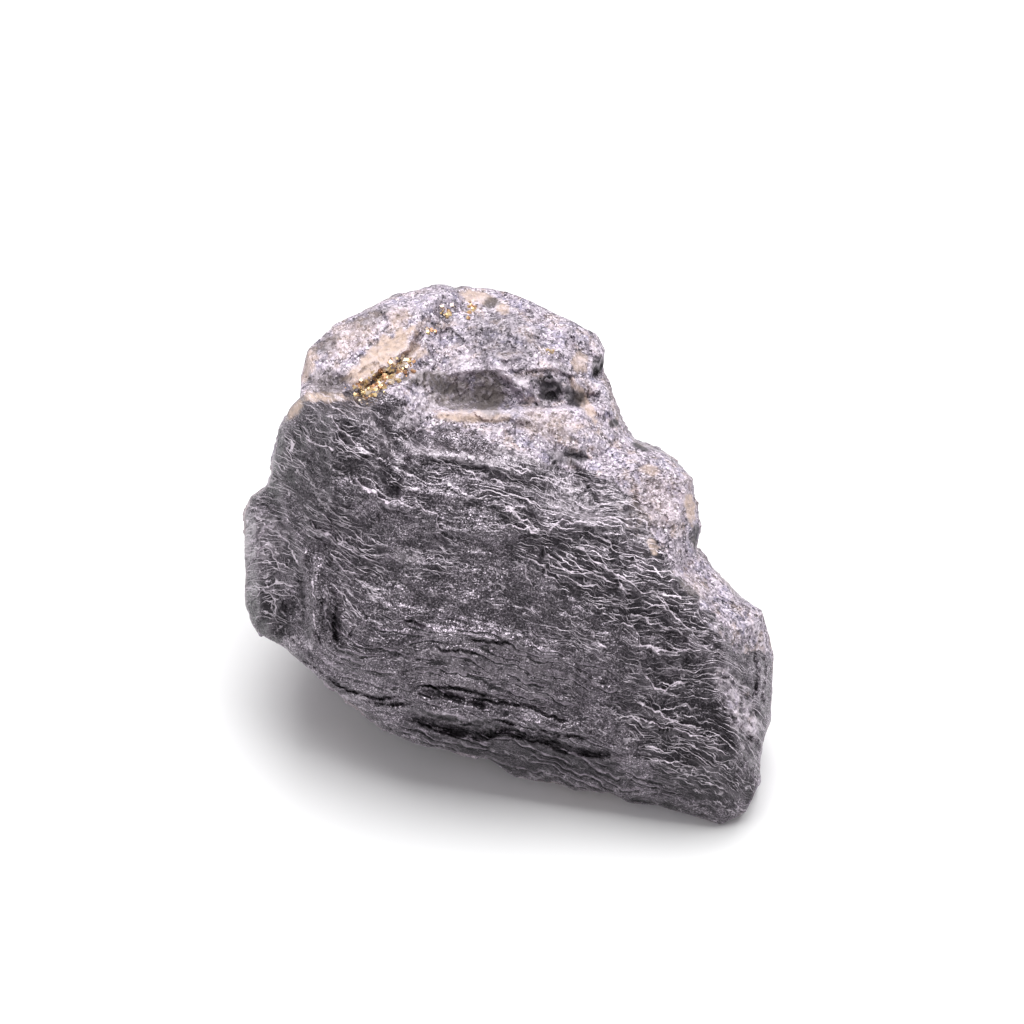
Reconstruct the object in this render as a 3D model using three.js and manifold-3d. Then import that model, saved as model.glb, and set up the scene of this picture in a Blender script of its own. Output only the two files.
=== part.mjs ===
// Galena hand specimen: one broken lump of massive lead ore, lying on its flattest side.
// A big wrinkled shear face slopes up from the front; behind its upper edge the lump is broken
// into coarse cleavage facets, with a fissure, a hollow and a lobe on either side.
// Everything is worked out in the frame of the shear face, in millimetres: u runs to the right
// along the face, v up its slope and w straight out of it. The finished skin is then tipped
// back until the bed it lies on is level, so that +Z is up and the origin is on the bed.
import * as THREE from "three";
import Module from "manifold-3d";
import { mergeVertices } from "three/addons/utils/BufferGeometryUtils.js";

// Driving dimensions, in millimetres and degrees.
const FACE_NORMAL_ELEVATION_DEG = 50; // how steeply the shear face's normal points up
const BED_DEPTH = 25.7; // the face frame's origin above the bed, before centring
const RIM_ROUNDING = 1.4; // how far the skin falls back as it reaches the outline
const RIM_BAND = 0.06; // share of the outline's radius that the rounding takes
const LEDGE_RISER = 2; // how far a ledge's riser leans back
const LEDGE_FADE = 1 / 6; // share of a ledge's length over which it dies out at each end
const FISSURE_FADE = 1 / 5; // the same for a fissure
const HOLLOW_SPREAD = 1.25; // how far past its ellipse a hollow or a boss runs out
const UNDERSIDE_DEPTH = 62; // how deep the hidden side would go without its breaks
const UNDERSIDE_SQUARENESS = 9; // higher makes the flanks behind the outline steeper
const UNDERSIDE_START = 0.985; // share of the outline's radius where the hidden side's grid begins
const UNDERSIDE_MIDDLE_DEPTH = 10; // how far behind the face frame's origin the flanks' middle lies
const FLANK_BITE = 0.6; // how strongly the broken surface bites into the flanks
const FLANK_BITE_LEVEL = 1.5; // relief below which it bites
const FLANK_BAND = 0.2; // share of the radius next to the outline where it only bites
const EVENING_BAND = 0.1; // share of the radius over which the outline's notches fade
const EVENING_STEP_DEG = 9; // a seventh of the angle over which they are evened out
const CUTTER_WIDTH = 300; // wider than the lump, for what breaks take away
const FACE_GRID = 61; // vertices along each side of the face's grid, an odd number
const UNDERSIDE_GRID = (FACE_GRID + 1) / 2;

// The outline seen square to the shear face, anticlockwise from the right, as [u, v].
const OUTLINE = [
  [33, 0], [31.5, 2], [32.5, 5.5], [31, 10], [31, 13], [26.5, 17], [21.5, 19], [19.5, 22],
  [16.5, 30], [17, 34], [15.5, 36.5], [4.5, 42], [-1.5, 44], [-5.5, 44], [-7, 43.5], [-10, 44.5],
  [-17, 42.5], [-26.5, 38], [-31, 33.5], [-32, 29], [-32, 26], [-33.5, 24.5], [-35.5, 20.5], [-37, 12],
  [-40, 10], [-41, 7.5], [-41, -7], [-40, -10], [-38.5, -12], [-34.5, -14], [-30.5, -17.5],
  [-18.5, -27.5], [-12, -30], [-8.5, -30.5], [-1.5, -32], [2.5, -35], [9.5, -36], [12, -37],
  [18, -37.5], [20.5, -39], [25.5, -39.5], [35.5, -42.5], [39.5, -40.5], [41.5, -36], [42, -29.5],
  [43.5, -26], [44, -15], [42, -8], [38, -6],
];

// The face side is a heap of blocks grown together. Each block is bounded by flat planes, given
// as [u, v, w, du, dv]: a point on the plane, and how the plane's depth w changes along u and v.
const FACE_BLOCKS = {
  "shear slab": [
    [-6, -2, 17.6, 0.02, 0.06], // face
    [-6, -16, 16.4, 0.02, 0.3], // face, lower part
    [22, -10, 17.0, -0.14, 0.12], // face, right part
    [-24, 0, 15.4, 0.26, 0.03], // face, left part
    [-32, 0, 11.4, 1.1, 0.04], // left column
    [0, 14, 16.2, -0.05, -0.42], // shelf
    [0, 19, 12.6, -0.05, -1.05], // top
    [26, 6, 13.0, -0.55, -0.6], // right slope
    [22, 2, 14.6, -0.4, -0.5], // torn belt
    [38, -9, 9.6, -0.9, -0.9], // shoulder
    [40, -20, 9.4, -1.25, -0.05], // right flank
    [-18, -22, 11.6, 0.5, 0.85], // lower left
    [0, -28, 10.6, 0.2, 0.92], // foot
    [34, -37, 8.4, -0.15, 0.7], // tip
  ],
  nose: [
    [-22, 16, 18.6, 0.06, -0.02], // face
    [-24, 24.5, 15.4, 0.12, -1.6], // top
    [-17, 18, 15.4, -0.8, -0.35], // right side
    [-30, 18, 14.2, 1.2, -0.05], // left side
    [-21, 3, 15.8, 0.1, 0.5], // foot
  ],
  "left lobe": [
    [-36, -1, 8.0, 0.4, 0.05], // face
    [-40, 0, 5.2, 1.5, 0.1], // left side
    [-37, 8, 6.4, 0.35, -0.95], // top
    [-36, -10, 6.4, 0.3, 0.9], // foot
    [-31, 0, 9.4, -1.2, 0], // right side
  ],
  "right lobe": [
    [26, 9, 10.2, -0.35, -0.3], // face
    [31, 8, 6.6, -1.4, -0.1], // right side
    [25, 15, 7.2, -0.4, -1.1], // top
    [15, 6, 13.5, 0.6, 0.7], // lower left
    [12, 14, 11.6, 0.5, 0], // left side
  ],
  dome: [
    [0, 33, 5.2, -0.03, -0.7], // face
    [0, 41, -2.6, -0.1, -1.35], // top
    [12, 34, 2.2, -0.85, -0.5], // right side
    [-9, 34, 3.6, 0.6, -0.6], // left side
    [0, 30, 6.4, -0.1, 1.3], // overhang above the hollow
  ],
  "granular bank": [
    [4, 21, 10.0, -0.08, -0.5], // face
    [4, 24, 8.4, 0, -2.5], // back
    [-13, 22, 10.2, 0.9, -0.4], // left side
    [15, 20, 8.2, -0.9, -0.5], // right side
    [4, 16, 10.0, 0, 1.2], // foot
  ],
  "left mass": [
    [-20, 34, 6.4, 0.12, -0.65], // face
    [-18, 41, 1.6, 0.1, -1.3], // top
    [-29, 31, 8.4, 1.1, -0.4], // left side
    [-14, 34, 6.6, -0.8, -0.35], // side by the fissure
    [-22, 25, 12.0, 0, 1.2], // foot
  ],
  neck: [
    [16, 25, 4.2, -0.6, -0.45], // face
    [20, 24, 1.2, -1.4, -0.3], // right side
    [16, 34, -1.6, -0.7, -1.1], // top
    [13, 22, 5.4, 1.0, 0.1], // left side
    [17, 19, 6.0, 0.1, 1.0], // foot
  ],
  body: [
    [-4, 27, 6.3, 0, 0.05], // floor of the hollow
    [0, 36, -0.4, 0, -1.1], // top
    [18, 26, -0.6, -0.9, -0.4], // right side
    [-27, 28, 3.0, 0.7, -0.5], // left side
    [0, 20, 5.0, 0, 0.9], // foot
  ],
};

// Flat breaks of the hidden side, as [direction, reach, depth, steepness]: seen along w, a break
// faces the direction in degrees, and at that reach from the middle it lies at depth w. Further in
// it goes down by its steepness for each millimetre.
const BREAKS = [
  [18, 35.5, -1, 2.2], // right
  [40, 31.5, -9, 1.0], // behind the right lobe
  [62, 37.5, -9, 1.5], // behind the neck
  [88, 43.5, -13, 1.8], // behind the dome
  [108, 45.5, -10, 1.1], // behind the left mass
  [133, 44, -6, 1.6], // behind the round facet
  [158, 41, -4, 1.5], // behind the nose
  [186, 41.5, -3, 1.5], // left
  [225, 36, -2, 1.3], // left overhang
  [252, 32, -3, 1.1], // under the foot
  [290, 52, 0, 1.5], // under the tip
  [332, 54, -1, 2.2], // lower right
  [80, 32, -31, 0.45], // back, lower part
  [120, 30, -30, 0.7], // back left, lower part
  [25, 27, -26, 0.8], // right, lower part
  [350, 33, -22, 1.2], // lower right, lower part
  [172, 31, -23, 0.8], // left, lower part
  [215, 22, -24, 0.6], // left overhang, lower part
  [0, 0, -44, 0], // base
];

// Square-cornered steps in the hidden side, where cubes have cleaved off: the inner corner of
// each as [u, v, w]. All of them share the crystal's own directions.
const CLEAVAGE_STEPS = [
  [9, 27, -20], [21, 13, -19], [3, 31, -29], [-8, 27, -37], [-13, 29, -21], [-27, 13, -14],
];
const CLEAVAGE_TURNS_DEG = [40, -33, 14]; // turns of the cleaved cubes about u, v and w

// Ledges: the skin stands proud on the left of each path, by height, and falls back over reach.
const LEDGES = [
  {
    name: "lower lip", height: 1.2, reach: 8,
    path: [[42, -32], [25, -31.5], [14.5, -28.5], [5.5, -27], [0.5, -24.5], [-3, -22], [-11, -20.5],
      [-14.5, -19.5], [-24, -21]],
  },
  {
    name: "lip overhang", height: 2.0, reach: 5,
    path: [[-17.4, -23.8], [-10.5, -25.8], [-3, -26.9], [0.5, -26.2], [6.9, -28], [11.2, -29.3],
      [17.3, -29.7]],
  },
  {
    name: "nose flank", height: 1.2, reach: 9,
    path: [[-20.5, 27], [-17.5, 22], [-15.5, 15.5], [-17.5, 9], [-22, 4]],
  },
  {
    name: "shelf edge", height: 1.6, reach: 7,
    path: [[-16, 15.5], [-9, 15.5], [-3, 14], [4, 12], [8, 10.6]],
  },
  { name: "shelf step", height: 0.9, reach: 5, path: [[-12, 20], [-4, 18.5], [3, 16.5]] },
  { name: "bank foot", height: 1.0, reach: 4, path: [[-13, 24], [-4, 22], [4, 21.5], [14, 18.5]] },
  {
    name: "lobe edge", height: 1.6, reach: 5,
    path: [[-37, 13], [-35.5, 6], [-32.5, 0], [-32, -6], [-31, -15]],
  },
  { name: "upper curve", height: 0.8, reach: 5, path: [[-24, 11.5], [-15, 6], [-6, 3], [4, 2]] },
  { name: "lower curve", height: 0.7, reach: 5, path: [[-27, 3.5], [-18, -3], [-11, -6.5], [-2, -8]] },
  { name: "right diagonal", height: 0.9, reach: 5, path: [[6, 7], [16, 3], [24, -2], [33, -9]] },
  { name: "right lower diagonal", height: 0.9, reach: 5, path: [[8, -1], [20, -6], [29, -13], [35, -21]] },
  { name: "wedge", height: 1.0, reach: 4, path: [[21, -11], [26, -19], [29, -17], [34, -12]] },
  { name: "rim strip", height: 0.9, reach: 4, path: [[31, -13], [32.5, -19], [37, -25.6], [41.6, -31.4]] },
  { name: "low crack", height: 0.9, reach: 4, path: [[-18, -12.5], [-7, -13.5], [3, -15], [12, -18]] },
  { name: "dome edge", height: 1.0, reach: 5, path: [[15, 31], [6, 33.5], [-4, 34], [-12, 31]] },
];

// Hollows and bosses: an ellipse with centre u, v, radii, turn in degrees, and how far it is raised.
const BOSSES = [
  { name: "brown hollow", u: -5.6, v: 26.6, ru: 6.8, rv: 2.8, turn: -8, raise: -0.4 },
  { name: "dome swell", u: 3.6, v: 36.6, ru: 5.2, rv: 2.2, turn: -42, raise: 1.2 },
  { name: "small hollow", u: 8.4, v: 26.8, ru: 2.8, rv: 1.6, turn: -10, raise: -1.5 },
  { name: "white rib", u: 1.8, v: 29.2, ru: 4.6, rv: 1.2, turn: -38, raise: 1.3 },
  { name: "neck hollow", u: 13.6, v: 25.8, ru: 1.8, rv: 3.0, turn: 30, raise: -1.6 },
  { name: "round facet", u: -27.2, v: 28.0, ru: 3.6, rv: 2.2, turn: 8, raise: -1.2 },
  { name: "top pit", u: -1.6, v: 41.8, ru: 1.4, rv: 1.0, turn: 0, raise: -1.6 },
  { name: "dark lens", u: 12.4, v: 17.0, ru: 5.6, rv: 1.2, turn: -6, raise: -0.8 },
  { name: "corner notch", u: 16.4, v: 29.6, ru: 1.8, rv: 1.2, turn: 40, raise: -2.0 },
  { name: "face dish", u: 2.0, v: 8.0, ru: 7.5, rv: 3.0, turn: -14, raise: -0.7 },
  { name: "left groove", u: -26.2, v: -8.5, ru: 1.3, rv: 7.0, turn: 4, raise: -0.6 },
  { name: "column bulge", u: -28.8, v: -8.0, ru: 1.4, rv: 8.0, turn: 4, raise: 0.7 },
];

// Fissures: a crack of this width and depth along each path.
const FISSURES = [
  {
    name: "pyrite fissure", width: 1.2, depth: 2.4,
    path: [[-23.4, 25.9], [-20.8, 28], [-17.4, 30.1], [-13.8, 34], [-11.6, 37.2]],
  },
];

// Where the shear face ends: the skin is broken coarsely on the left of this path.
const FACE_EDGE = [
  [-42, 22], [-33, 24.8], [-24, 26], [-19, 25.6], [-10, 21.3], [0, 16.8], [6.4, 14.4],
  [12.8, 13.1], [17.6, 11.2], [21.3, 8.2], [23.5, 3.5], [25.6, -0.3], [29.1, -5], [33.4, -9.9],
  [37.6, -14.2], [44, -17],
];
const FACE_EDGE_WIDTH = 2.6; // over which one kind of broken surface turns into the other

// Broken surface: flat-faceted relief, one layer over another, as [facet width, height].
const SHEARED_BREAKAGE = [[9, 0.6], [4.5, 0.25]];
const COARSE_BREAKAGE = [[8, 0.9], [4.5, 0.35]];
const UNDERSIDE_BREAKAGE = [[12, 2.4], [6, 1.0]];
const SEED = 11;

const clamp = (x, low, high) => Math.min(high, Math.max(low, x));

const smoothstep = (x) => {
  const t = clamp(x, 0, 1);
  return t * t * (3 - 2 * t);
};

// A number from 0 to 1 for each point of a whole-number lattice, the same on every run.
function latticeValue([i, j, k], seed) {
  let h = Math.imul(i, 374761393) ^ Math.imul(j, 668265263) ^ Math.imul(k, 1440662683);
  h ^= Math.imul(seed, 1274126177);
  h = Math.imul(h ^ (h >>> 13), 1103515245);
  return ((h ^ (h >>> 16)) >>> 0) / 4294967296;
}

// Relief from -1 to 1 made of flat facets: each unit cube of the lattice is split into six
// tetrahedra, by the order of the point's fractions, and the corners' values run straight between.
function facetNoise(point, seed) {
  const corner = point.map(Math.floor);
  const fraction = point.map((x, axis) => x - corner[axis]);
  const order = [0, 1, 2].sort((a, b) => fraction[b] - fraction[a]);
  let value = latticeValue(corner, seed) * (1 - fraction[order[0]]);
  order.forEach((axis, n) => {
    corner[axis] += 1;
    value += latticeValue(corner, seed) * (fraction[axis] - (n < 2 ? fraction[order[n + 1]] : 0));
  });
  return 2 * value - 1;
}

// The lattice is turned, so that none of its rows lines up with the face.
function breakage(u, v, w, layers) {
  const turned = [0.8 * u + 0.52 * v + 0.3 * w, 0.86 * v - 0.42 * u - 0.28 * w, 0.91 * w - 0.4 * v];
  return layers.reduce(
    (total, [width, height], n) => total + height * facetNoise(turned.map((x) => x / width), SEED + n),
    0,
  );
}

const planeDepth = ([pu, pv, w, du, dv], u, v) => w + du * (u - pu) + dv * (v - pv);

// The outermost block at a point; a block reaches out to the innermost of its planes.
function blockDepth(u, v) {
  const blocks = Object.values(FACE_BLOCKS);
  return Math.max(...blocks.map((planes) => Math.min(...planes.map((plane) => planeDepth(plane, u, v)))));
}

// The nearest point of a path: distance from it, positive on its left, and how far along, 0 to 1.
function alongPath(u, v, path) {
  let best = { distance: Infinity, signed: 0, along: 0 };
  for (let k = 0; k + 1 < path.length; k++) {
    const [ax, ay] = path[k];
    const [ex, ey] = [path[k + 1][0] - ax, path[k + 1][1] - ay];
    const t = clamp(((u - ax) * ex + (v - ay) * ey) / (ex * ex + ey * ey), 0, 1);
    const [dx, dy] = [u - ax - t * ex, v - ay - t * ey];
    const distance = Math.hypot(dx, dy);
    if (distance < best.distance) {
      const side = ex * (v - ay) - ey * (u - ax) >= 0 ? 1 : -1;
      best = { distance, signed: side * distance, along: (k + t) / (path.length - 1) };
    }
  }
  return best;
}

// A ledge rises steeply at its path, sinks back over its reach and dies out at its two ends.
function ledgeRise(u, v, ledge) {
  const { signed, along } = alongPath(u, v, ledge.path);
  const ends = smoothstep(Math.min(along, 1 - along) / LEDGE_FADE);
  const rise = smoothstep(signed / LEDGE_RISER) * (1 - smoothstep(signed / ledge.reach));
  return ledge.height * ends * rise;
}

function bossRise(u, v, boss) {
  const turn = THREE.MathUtils.degToRad(boss.turn);
  const [du, dv] = [u - boss.u, v - boss.v];
  const a = (du * Math.cos(turn) + dv * Math.sin(turn)) / boss.ru;
  const b = (dv * Math.cos(turn) - du * Math.sin(turn)) / boss.rv;
  return boss.raise * (1 - smoothstep(Math.hypot(a, b) / HOLLOW_SPREAD));
}

function fissureDepth(u, v, fissure) {
  const { distance, along } = alongPath(u, v, fissure.path);
  const ends = smoothstep(Math.min(along, 1 - along) / FISSURE_FADE);
  return fissure.depth * ends * (1 - smoothstep(distance / fissure.width));
}

const sum = (list, value) => list.reduce((total, item) => total + value(item), 0);

// Depth of the face side at u, v, a share of the outline's radius from the middle.
function faceDepth(u, v, share) {
  const rim = clamp((share - (1 - RIM_BAND)) / RIM_BAND, 0, 1);
  const main = blockDepth(u, v);
  const coarse = smoothstep(alongPath(u, v, FACE_EDGE).signed / FACE_EDGE_WIDTH);
  const sheared = breakage(u, v, main, SHEARED_BREAKAGE);
  const broken = sheared + (breakage(u, v, main, COARSE_BREAKAGE) - sheared) * coarse;
  return (
    main +
    broken * (1 - rim) +
    sum(LEDGES, (ledge) => ledgeRise(u, v, ledge)) +
    sum(BOSSES, (boss) => bossRise(u, v, boss)) -
    sum(FISSURES, (fissure) => fissureDepth(u, v, fissure)) -
    RIM_ROUNDING * rim * rim
  );
}

// How far the hidden side has dropped from the outline's depth, 0 to 1.
const inward = (share) => Math.sqrt(1 - share ** UNDERSIDE_SQUARENESS);

// A point of the hidden side, pushed out from the lump's middle or in by the broken surface. Close
// to the outline it is only pushed in, so that the outline stays the widest part of the lump.
function undersidePoint(u, v, share, rimDepth) {
  const w = rimDepth - (UNDERSIDE_DEPTH + rimDepth) * inward(share);
  const outward = new THREE.Vector3(u, v, w + UNDERSIDE_MIDDLE_DEPTH).normalize();
  const relief = breakage(u, v, w, UNDERSIDE_BREAKAGE);
  const inside = smoothstep((UNDERSIDE_START - share) / FLANK_BAND);
  const bite = FLANK_BITE * Math.min(relief - FLANK_BITE_LEVEL, 0) * inward(share);
  outward.multiplyScalar(bite + (relief - bite) * inside);
  return [u + outward.x, v + outward.y, w + outward.z];
}

const OUTLINE_ANGLES = OUTLINE.map(([u, v]) => (Math.atan2(v, u) + 2 * Math.PI) % (2 * Math.PI));

// The outline's radius in a direction: where the ray from the middle crosses the outline's side.
function outlineRadius(angle) {
  const turn = ((angle % (2 * Math.PI)) + 2 * Math.PI) % (2 * Math.PI);
  const after = OUTLINE_ANGLES.findIndex((a) => a > turn);
  const end = after === -1 ? 0 : after;
  const [ax, ay] = OUTLINE[(end + OUTLINE.length - 1) % OUTLINE.length];
  const [ex, ey] = [OUTLINE[end][0] - ax, OUTLINE[end][1] - ay];
  return (ax * ey - ay * ex) / (Math.cos(turn) * ey - Math.sin(turn) * ex);
}

// The radius that the hidden side is scaled to: the outline's own at the outline, and further in
// one that is evened out over its neighbourhood, so that the outline's notches fade behind it.
function flankRadius(angle, share) {
  const own = outlineRadius(angle);
  const step = THREE.MathUtils.degToRad(EVENING_STEP_DEG);
  const around = [-3, -2, -1, 0, 1, 2, 3].map((k) => outlineRadius(angle + k * step));
  const even = around.reduce((total, radius) => total + radius, 0) / around.length;
  return own + (Math.min(own, even) - own) * smoothstep((UNDERSIDE_START - share) / EVENING_BAND);
}

// A square grid laid onto the unit disc in rings, without bunching: [share, angle] of a vertex.
function discPoint(column, row, count) {
  const a = (2 * column) / (count - 1) - 1;
  const b = (2 * row) / (count - 1) - 1;
  if (a === 0 && b === 0) return [0, 0];
  if (Math.abs(a) >= Math.abs(b)) return [Math.abs(a), (Math.PI / 4) * (b / a) + (a < 0 ? Math.PI : 0)];
  return [Math.abs(b), Math.PI / 2 - (Math.PI / 4) * (a / b) + (b < 0 ? Math.PI : 0)];
}

// The grid's border vertices in order, anticlockwise from its lower right corner.
function border(count) {
  const last = count - 1;
  const steps = [...Array(last).keys()];
  return [
    ...steps.map((k) => [last, k]),
    ...steps.map((k) => [last - k, last]),
    ...steps.map((k) => [0, last - k]),
    ...steps.map((k) => [k, 0]),
  ];
}

// From the face frame to the part's frame, before the origin is centred on the bed.
function tipBack(u, v, w) {
  const tilt = THREE.MathUtils.degToRad(FACE_NORMAL_ELEVATION_DEG);
  return [
    u,
    v * Math.sin(tilt) - w * Math.cos(tilt),
    v * Math.cos(tilt) + w * Math.sin(tilt) + BED_DEPTH,
  ];
}

// The whole skin: the face's grid, the underside's grid at half its count, and a strip between.
function skinGeometry() {
  const positions = [];
  const triangles = [];
  const faceIndex = (column, row) => row * FACE_GRID + column;
  const undersideIndex = (column, row) => FACE_GRID ** 2 + row * UNDERSIDE_GRID + column;

  for (let row = 0; row < FACE_GRID; row++) {
    for (let column = 0; column < FACE_GRID; column++) {
      const [share, angle] = discPoint(column, row, FACE_GRID);
      const radius = share * outlineRadius(angle);
      const [u, v] = [radius * Math.cos(angle), radius * Math.sin(angle)];
      positions.push(...tipBack(u, v, faceDepth(u, v, share)));
    }
  }
  for (let row = 0; row < UNDERSIDE_GRID; row++) {
    for (let column = 0; column < UNDERSIDE_GRID; column++) {
      const [ring, angle] = discPoint(column, row, UNDERSIDE_GRID);
      const share = UNDERSIDE_START * Math.sin((Math.PI / 2) * ring);
      const direction = [Math.cos(angle), Math.sin(angle)];
      const [rimU, rimV] = direction.map((x) => x * outlineRadius(angle));
      const [u, v] = direction.map((x) => x * share * flankRadius(angle, share));
      positions.push(...tipBack(...undersidePoint(u, v, share, faceDepth(rimU, rimV, 1))));
    }
  }

  const height = (index) => positions[3 * index + 2];
  const addGrid = (count, index, facingOut) => {
    for (let row = 0; row + 1 < count; row++) {
      for (let column = 0; column + 1 < count; column++) {
        const corners = [
          index(column, row), index(column + 1, row), index(column + 1, row + 1), index(column, row + 1),
        ];
        if (!facingOut) corners.reverse();
        const [a, b, c, d] = corners;
        const alongAC = Math.abs(height(a) - height(c)) <= Math.abs(height(b) - height(d));
        triangles.push(...(alongAC ? [a, b, c, a, c, d] : [a, b, d, b, c, d]));
      }
    }
  };
  addGrid(FACE_GRID, faceIndex, true);
  addGrid(UNDERSIDE_GRID, undersideIndex, false);

  const faceRim = border(FACE_GRID).map(([column, row]) => faceIndex(column, row));
  const undersideRim = border(UNDERSIDE_GRID).map(([column, row]) => undersideIndex(column, row));
  undersideRim.forEach((start, k) => {
    const end = undersideRim[(k + 1) % undersideRim.length];
    const [f0, f1, f2] = [0, 1, 2].map((step) => faceRim[(2 * k + step) % faceRim.length]);
    triangles.push(f0, start, f1, f1, start, end, f1, end, f2);
  });

  const geometry = new THREE.BufferGeometry();
  geometry.setAttribute("position", new THREE.Float32BufferAttribute(positions, 3));
  geometry.setIndex(triangles);
  return geometry;
}

const wasm = await Module();
wasm.setup();

function toSolid(geometry) {
  const bare = geometry.clone();
  bare.deleteAttribute("normal");
  bare.deleteAttribute("uv");
  const merged = mergeVertices(bare);
  return new wasm.Manifold(
    new wasm.Mesh({
      numProp: 3,
      vertProperties: new Float32Array(merged.attributes.position.array),
      triVerts: new Uint32Array(merged.index.array),
    }),
  );
}

function toGeometry(solid) {
  const mesh = solid.getMesh();
  const geometry = new THREE.BufferGeometry();
  geometry.setAttribute("position", new THREE.Float32BufferAttribute(mesh.vertProperties, 3));
  geometry.setIndex(new THREE.Uint32BufferAttribute(mesh.triVerts, 1));
  return geometry;
}

// From the face frame to the part's frame, as a matrix.
function tipBackMatrix() {
  const [origin, ...ends] = [[0, 0, 0], [1, 0, 0], [0, 1, 0], [0, 0, 1]].map(
    (point) => new THREE.Vector3(...tipBack(...point)),
  );
  const axes = ends.map((end) => end.sub(origin));
  return new THREE.Matrix4().makeBasis(...axes).setPosition(origin);
}

const cutterBlock = () => new THREE.BoxGeometry(CUTTER_WIDTH, CUTTER_WIDTH, CUTTER_WIDTH);

// What a break takes away: a wide block whose top lies on the break's plane.
function breakCutter([direction, reach, depth, steepness]) {
  return cutterBlock()
    .translate(0, 0, -CUTTER_WIDTH / 2)
    .rotateY(-Math.atan(steepness))
    .translate(reach, 0, depth)
    .rotateZ(THREE.MathUtils.degToRad(direction))
    .applyMatrix4(tipBackMatrix());
}

// What a cleavage step takes away: a cube that reaches down from its inner corner.
function stepCutter([u, v, w]) {
  const turns = CLEAVAGE_TURNS_DEG.map(THREE.MathUtils.degToRad);
  const outward = Math.sign(u) || 1;
  return cutterBlock()
    .translate((outward * CUTTER_WIDTH) / 2, CUTTER_WIDTH / 2, -CUTTER_WIDTH / 2)
    .applyMatrix4(new THREE.Matrix4().makeRotationFromEuler(new THREE.Euler(...turns)))
    .translate(u, v, w)
    .applyMatrix4(tipBackMatrix());
}

// The skin, cut by its breaks and steps; what lies below the bed goes too, which leaves the flat
// that the lump rests on.
function specimenGeometry() {
  const bed = cutterBlock().translate(0, 0, -CUTTER_WIDTH / 2);
  const cutters = [...BREAKS.map(breakCutter), ...CLEAVAGE_STEPS.map(stepCutter), bed];
  const skin = toSolid(skinGeometry());
  const lump = cutters.reduce((solid, cutter) => solid.subtract(toSolid(cutter)), skin);
  const geometry = toGeometry(lump);
  geometry.computeBoundingBox();
  const middle = geometry.boundingBox.getCenter(new THREE.Vector3());
  geometry.translate(-middle.x, -middle.y, 0);
  geometry.computeVertexNormals();
  return geometry;
}

const galena = new THREE.MeshStandardMaterial({ color: 0x6f6a70, roughness: 0.42, metalness: 0.75 });
const specimen = new THREE.Mesh(specimenGeometry(), galena);
specimen.name = "galena_specimen";

const group = new THREE.Group();
group.add(specimen);

export default group;
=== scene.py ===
"""Looks of the galena hand specimen.

One broken lump of massive lead ore lies on its flattest side. The skin is worked out in the frame
of its big shear face, in mm: u runs to the right along the face, v up its slope and w
straight out of it. The skin is then tipped back onto the bed, in metres, where the frame has it.
"""

import logging
import math
from collections.abc import Callable
from dataclasses import dataclass, field
from enum import Enum
from functools import cached_property

import bpy
import numpy as np
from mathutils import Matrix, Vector


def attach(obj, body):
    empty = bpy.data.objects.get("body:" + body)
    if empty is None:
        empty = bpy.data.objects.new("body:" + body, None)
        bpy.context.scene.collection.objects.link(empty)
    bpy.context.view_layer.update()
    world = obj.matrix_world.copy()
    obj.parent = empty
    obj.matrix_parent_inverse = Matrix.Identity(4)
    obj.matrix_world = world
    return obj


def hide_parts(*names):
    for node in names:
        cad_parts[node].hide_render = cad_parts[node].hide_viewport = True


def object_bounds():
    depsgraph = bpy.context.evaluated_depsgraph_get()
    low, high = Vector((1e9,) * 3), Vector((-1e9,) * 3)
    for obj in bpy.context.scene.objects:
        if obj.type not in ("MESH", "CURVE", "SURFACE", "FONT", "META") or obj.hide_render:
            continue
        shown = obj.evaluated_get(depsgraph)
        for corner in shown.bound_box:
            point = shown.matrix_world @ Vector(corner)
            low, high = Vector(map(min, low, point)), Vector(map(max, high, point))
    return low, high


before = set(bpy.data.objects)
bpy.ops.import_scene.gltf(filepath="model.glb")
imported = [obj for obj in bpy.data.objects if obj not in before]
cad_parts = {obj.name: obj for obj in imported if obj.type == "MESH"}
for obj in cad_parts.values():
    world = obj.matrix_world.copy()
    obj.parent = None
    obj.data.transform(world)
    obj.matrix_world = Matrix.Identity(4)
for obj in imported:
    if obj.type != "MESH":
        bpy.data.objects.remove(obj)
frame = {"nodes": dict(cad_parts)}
FRAME_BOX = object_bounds()

NODE = "galena_specimen"
MM = 0.001
SEED = 11  # every pattern adds its own number to this, so that no two are alike
LOG = logging.getLogger("galena")

Array = np.ndarray
Socket = bpy.types.NodeSocket
Colour = tuple[float, float, float, float]
Band = tuple[float, float, float, float]
Pair = tuple[float, float]
Triple = tuple[float, float, float]
Path = tuple[Pair, ...]
Layers = tuple[Pair, ...]  # each layer's width and height in mm


# --- Arithmetic on whole arrays ---


def smoothstep(x: Array) -> Array:
    """Ease from 0 to 1: x held between 0 and 1, then three x squared less two x cubed."""
    t = np.clip(x, 0.0, 1.0)
    return t * t * (3.0 - 2.0 * t)


def lattice_value(cells: Array, seed: int) -> Array:
    """A number from 0 to 1 for each whole-number point, the same on every run.

    Each coordinate is multiplied by its own odd number, the products are mixed by exclusive or,
    and the mix is stirred once with a shift and a product, all in 32 bits.

    Args:
        cells: Whole numbers, shape (..., 3).
        seed: Which of the unlike sets of numbers to draw from.

    Returns:
        Numbers from 0 to 1, shape (...).
    """
    c = cells.astype(np.int64).astype(np.uint32)
    h = c[..., 0] * np.uint32(374761393) ^ c[..., 1] * np.uint32(668265263)
    h ^= c[..., 2] * np.uint32(1440662683)
    h ^= np.uint32(seed * 1274126177 & 0xFFFFFFFF)
    h = (h ^ (h >> np.uint32(13))) * np.uint32(1103515245)
    return (h ^ (h >> np.uint32(16))) / 4294967296.0


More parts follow.
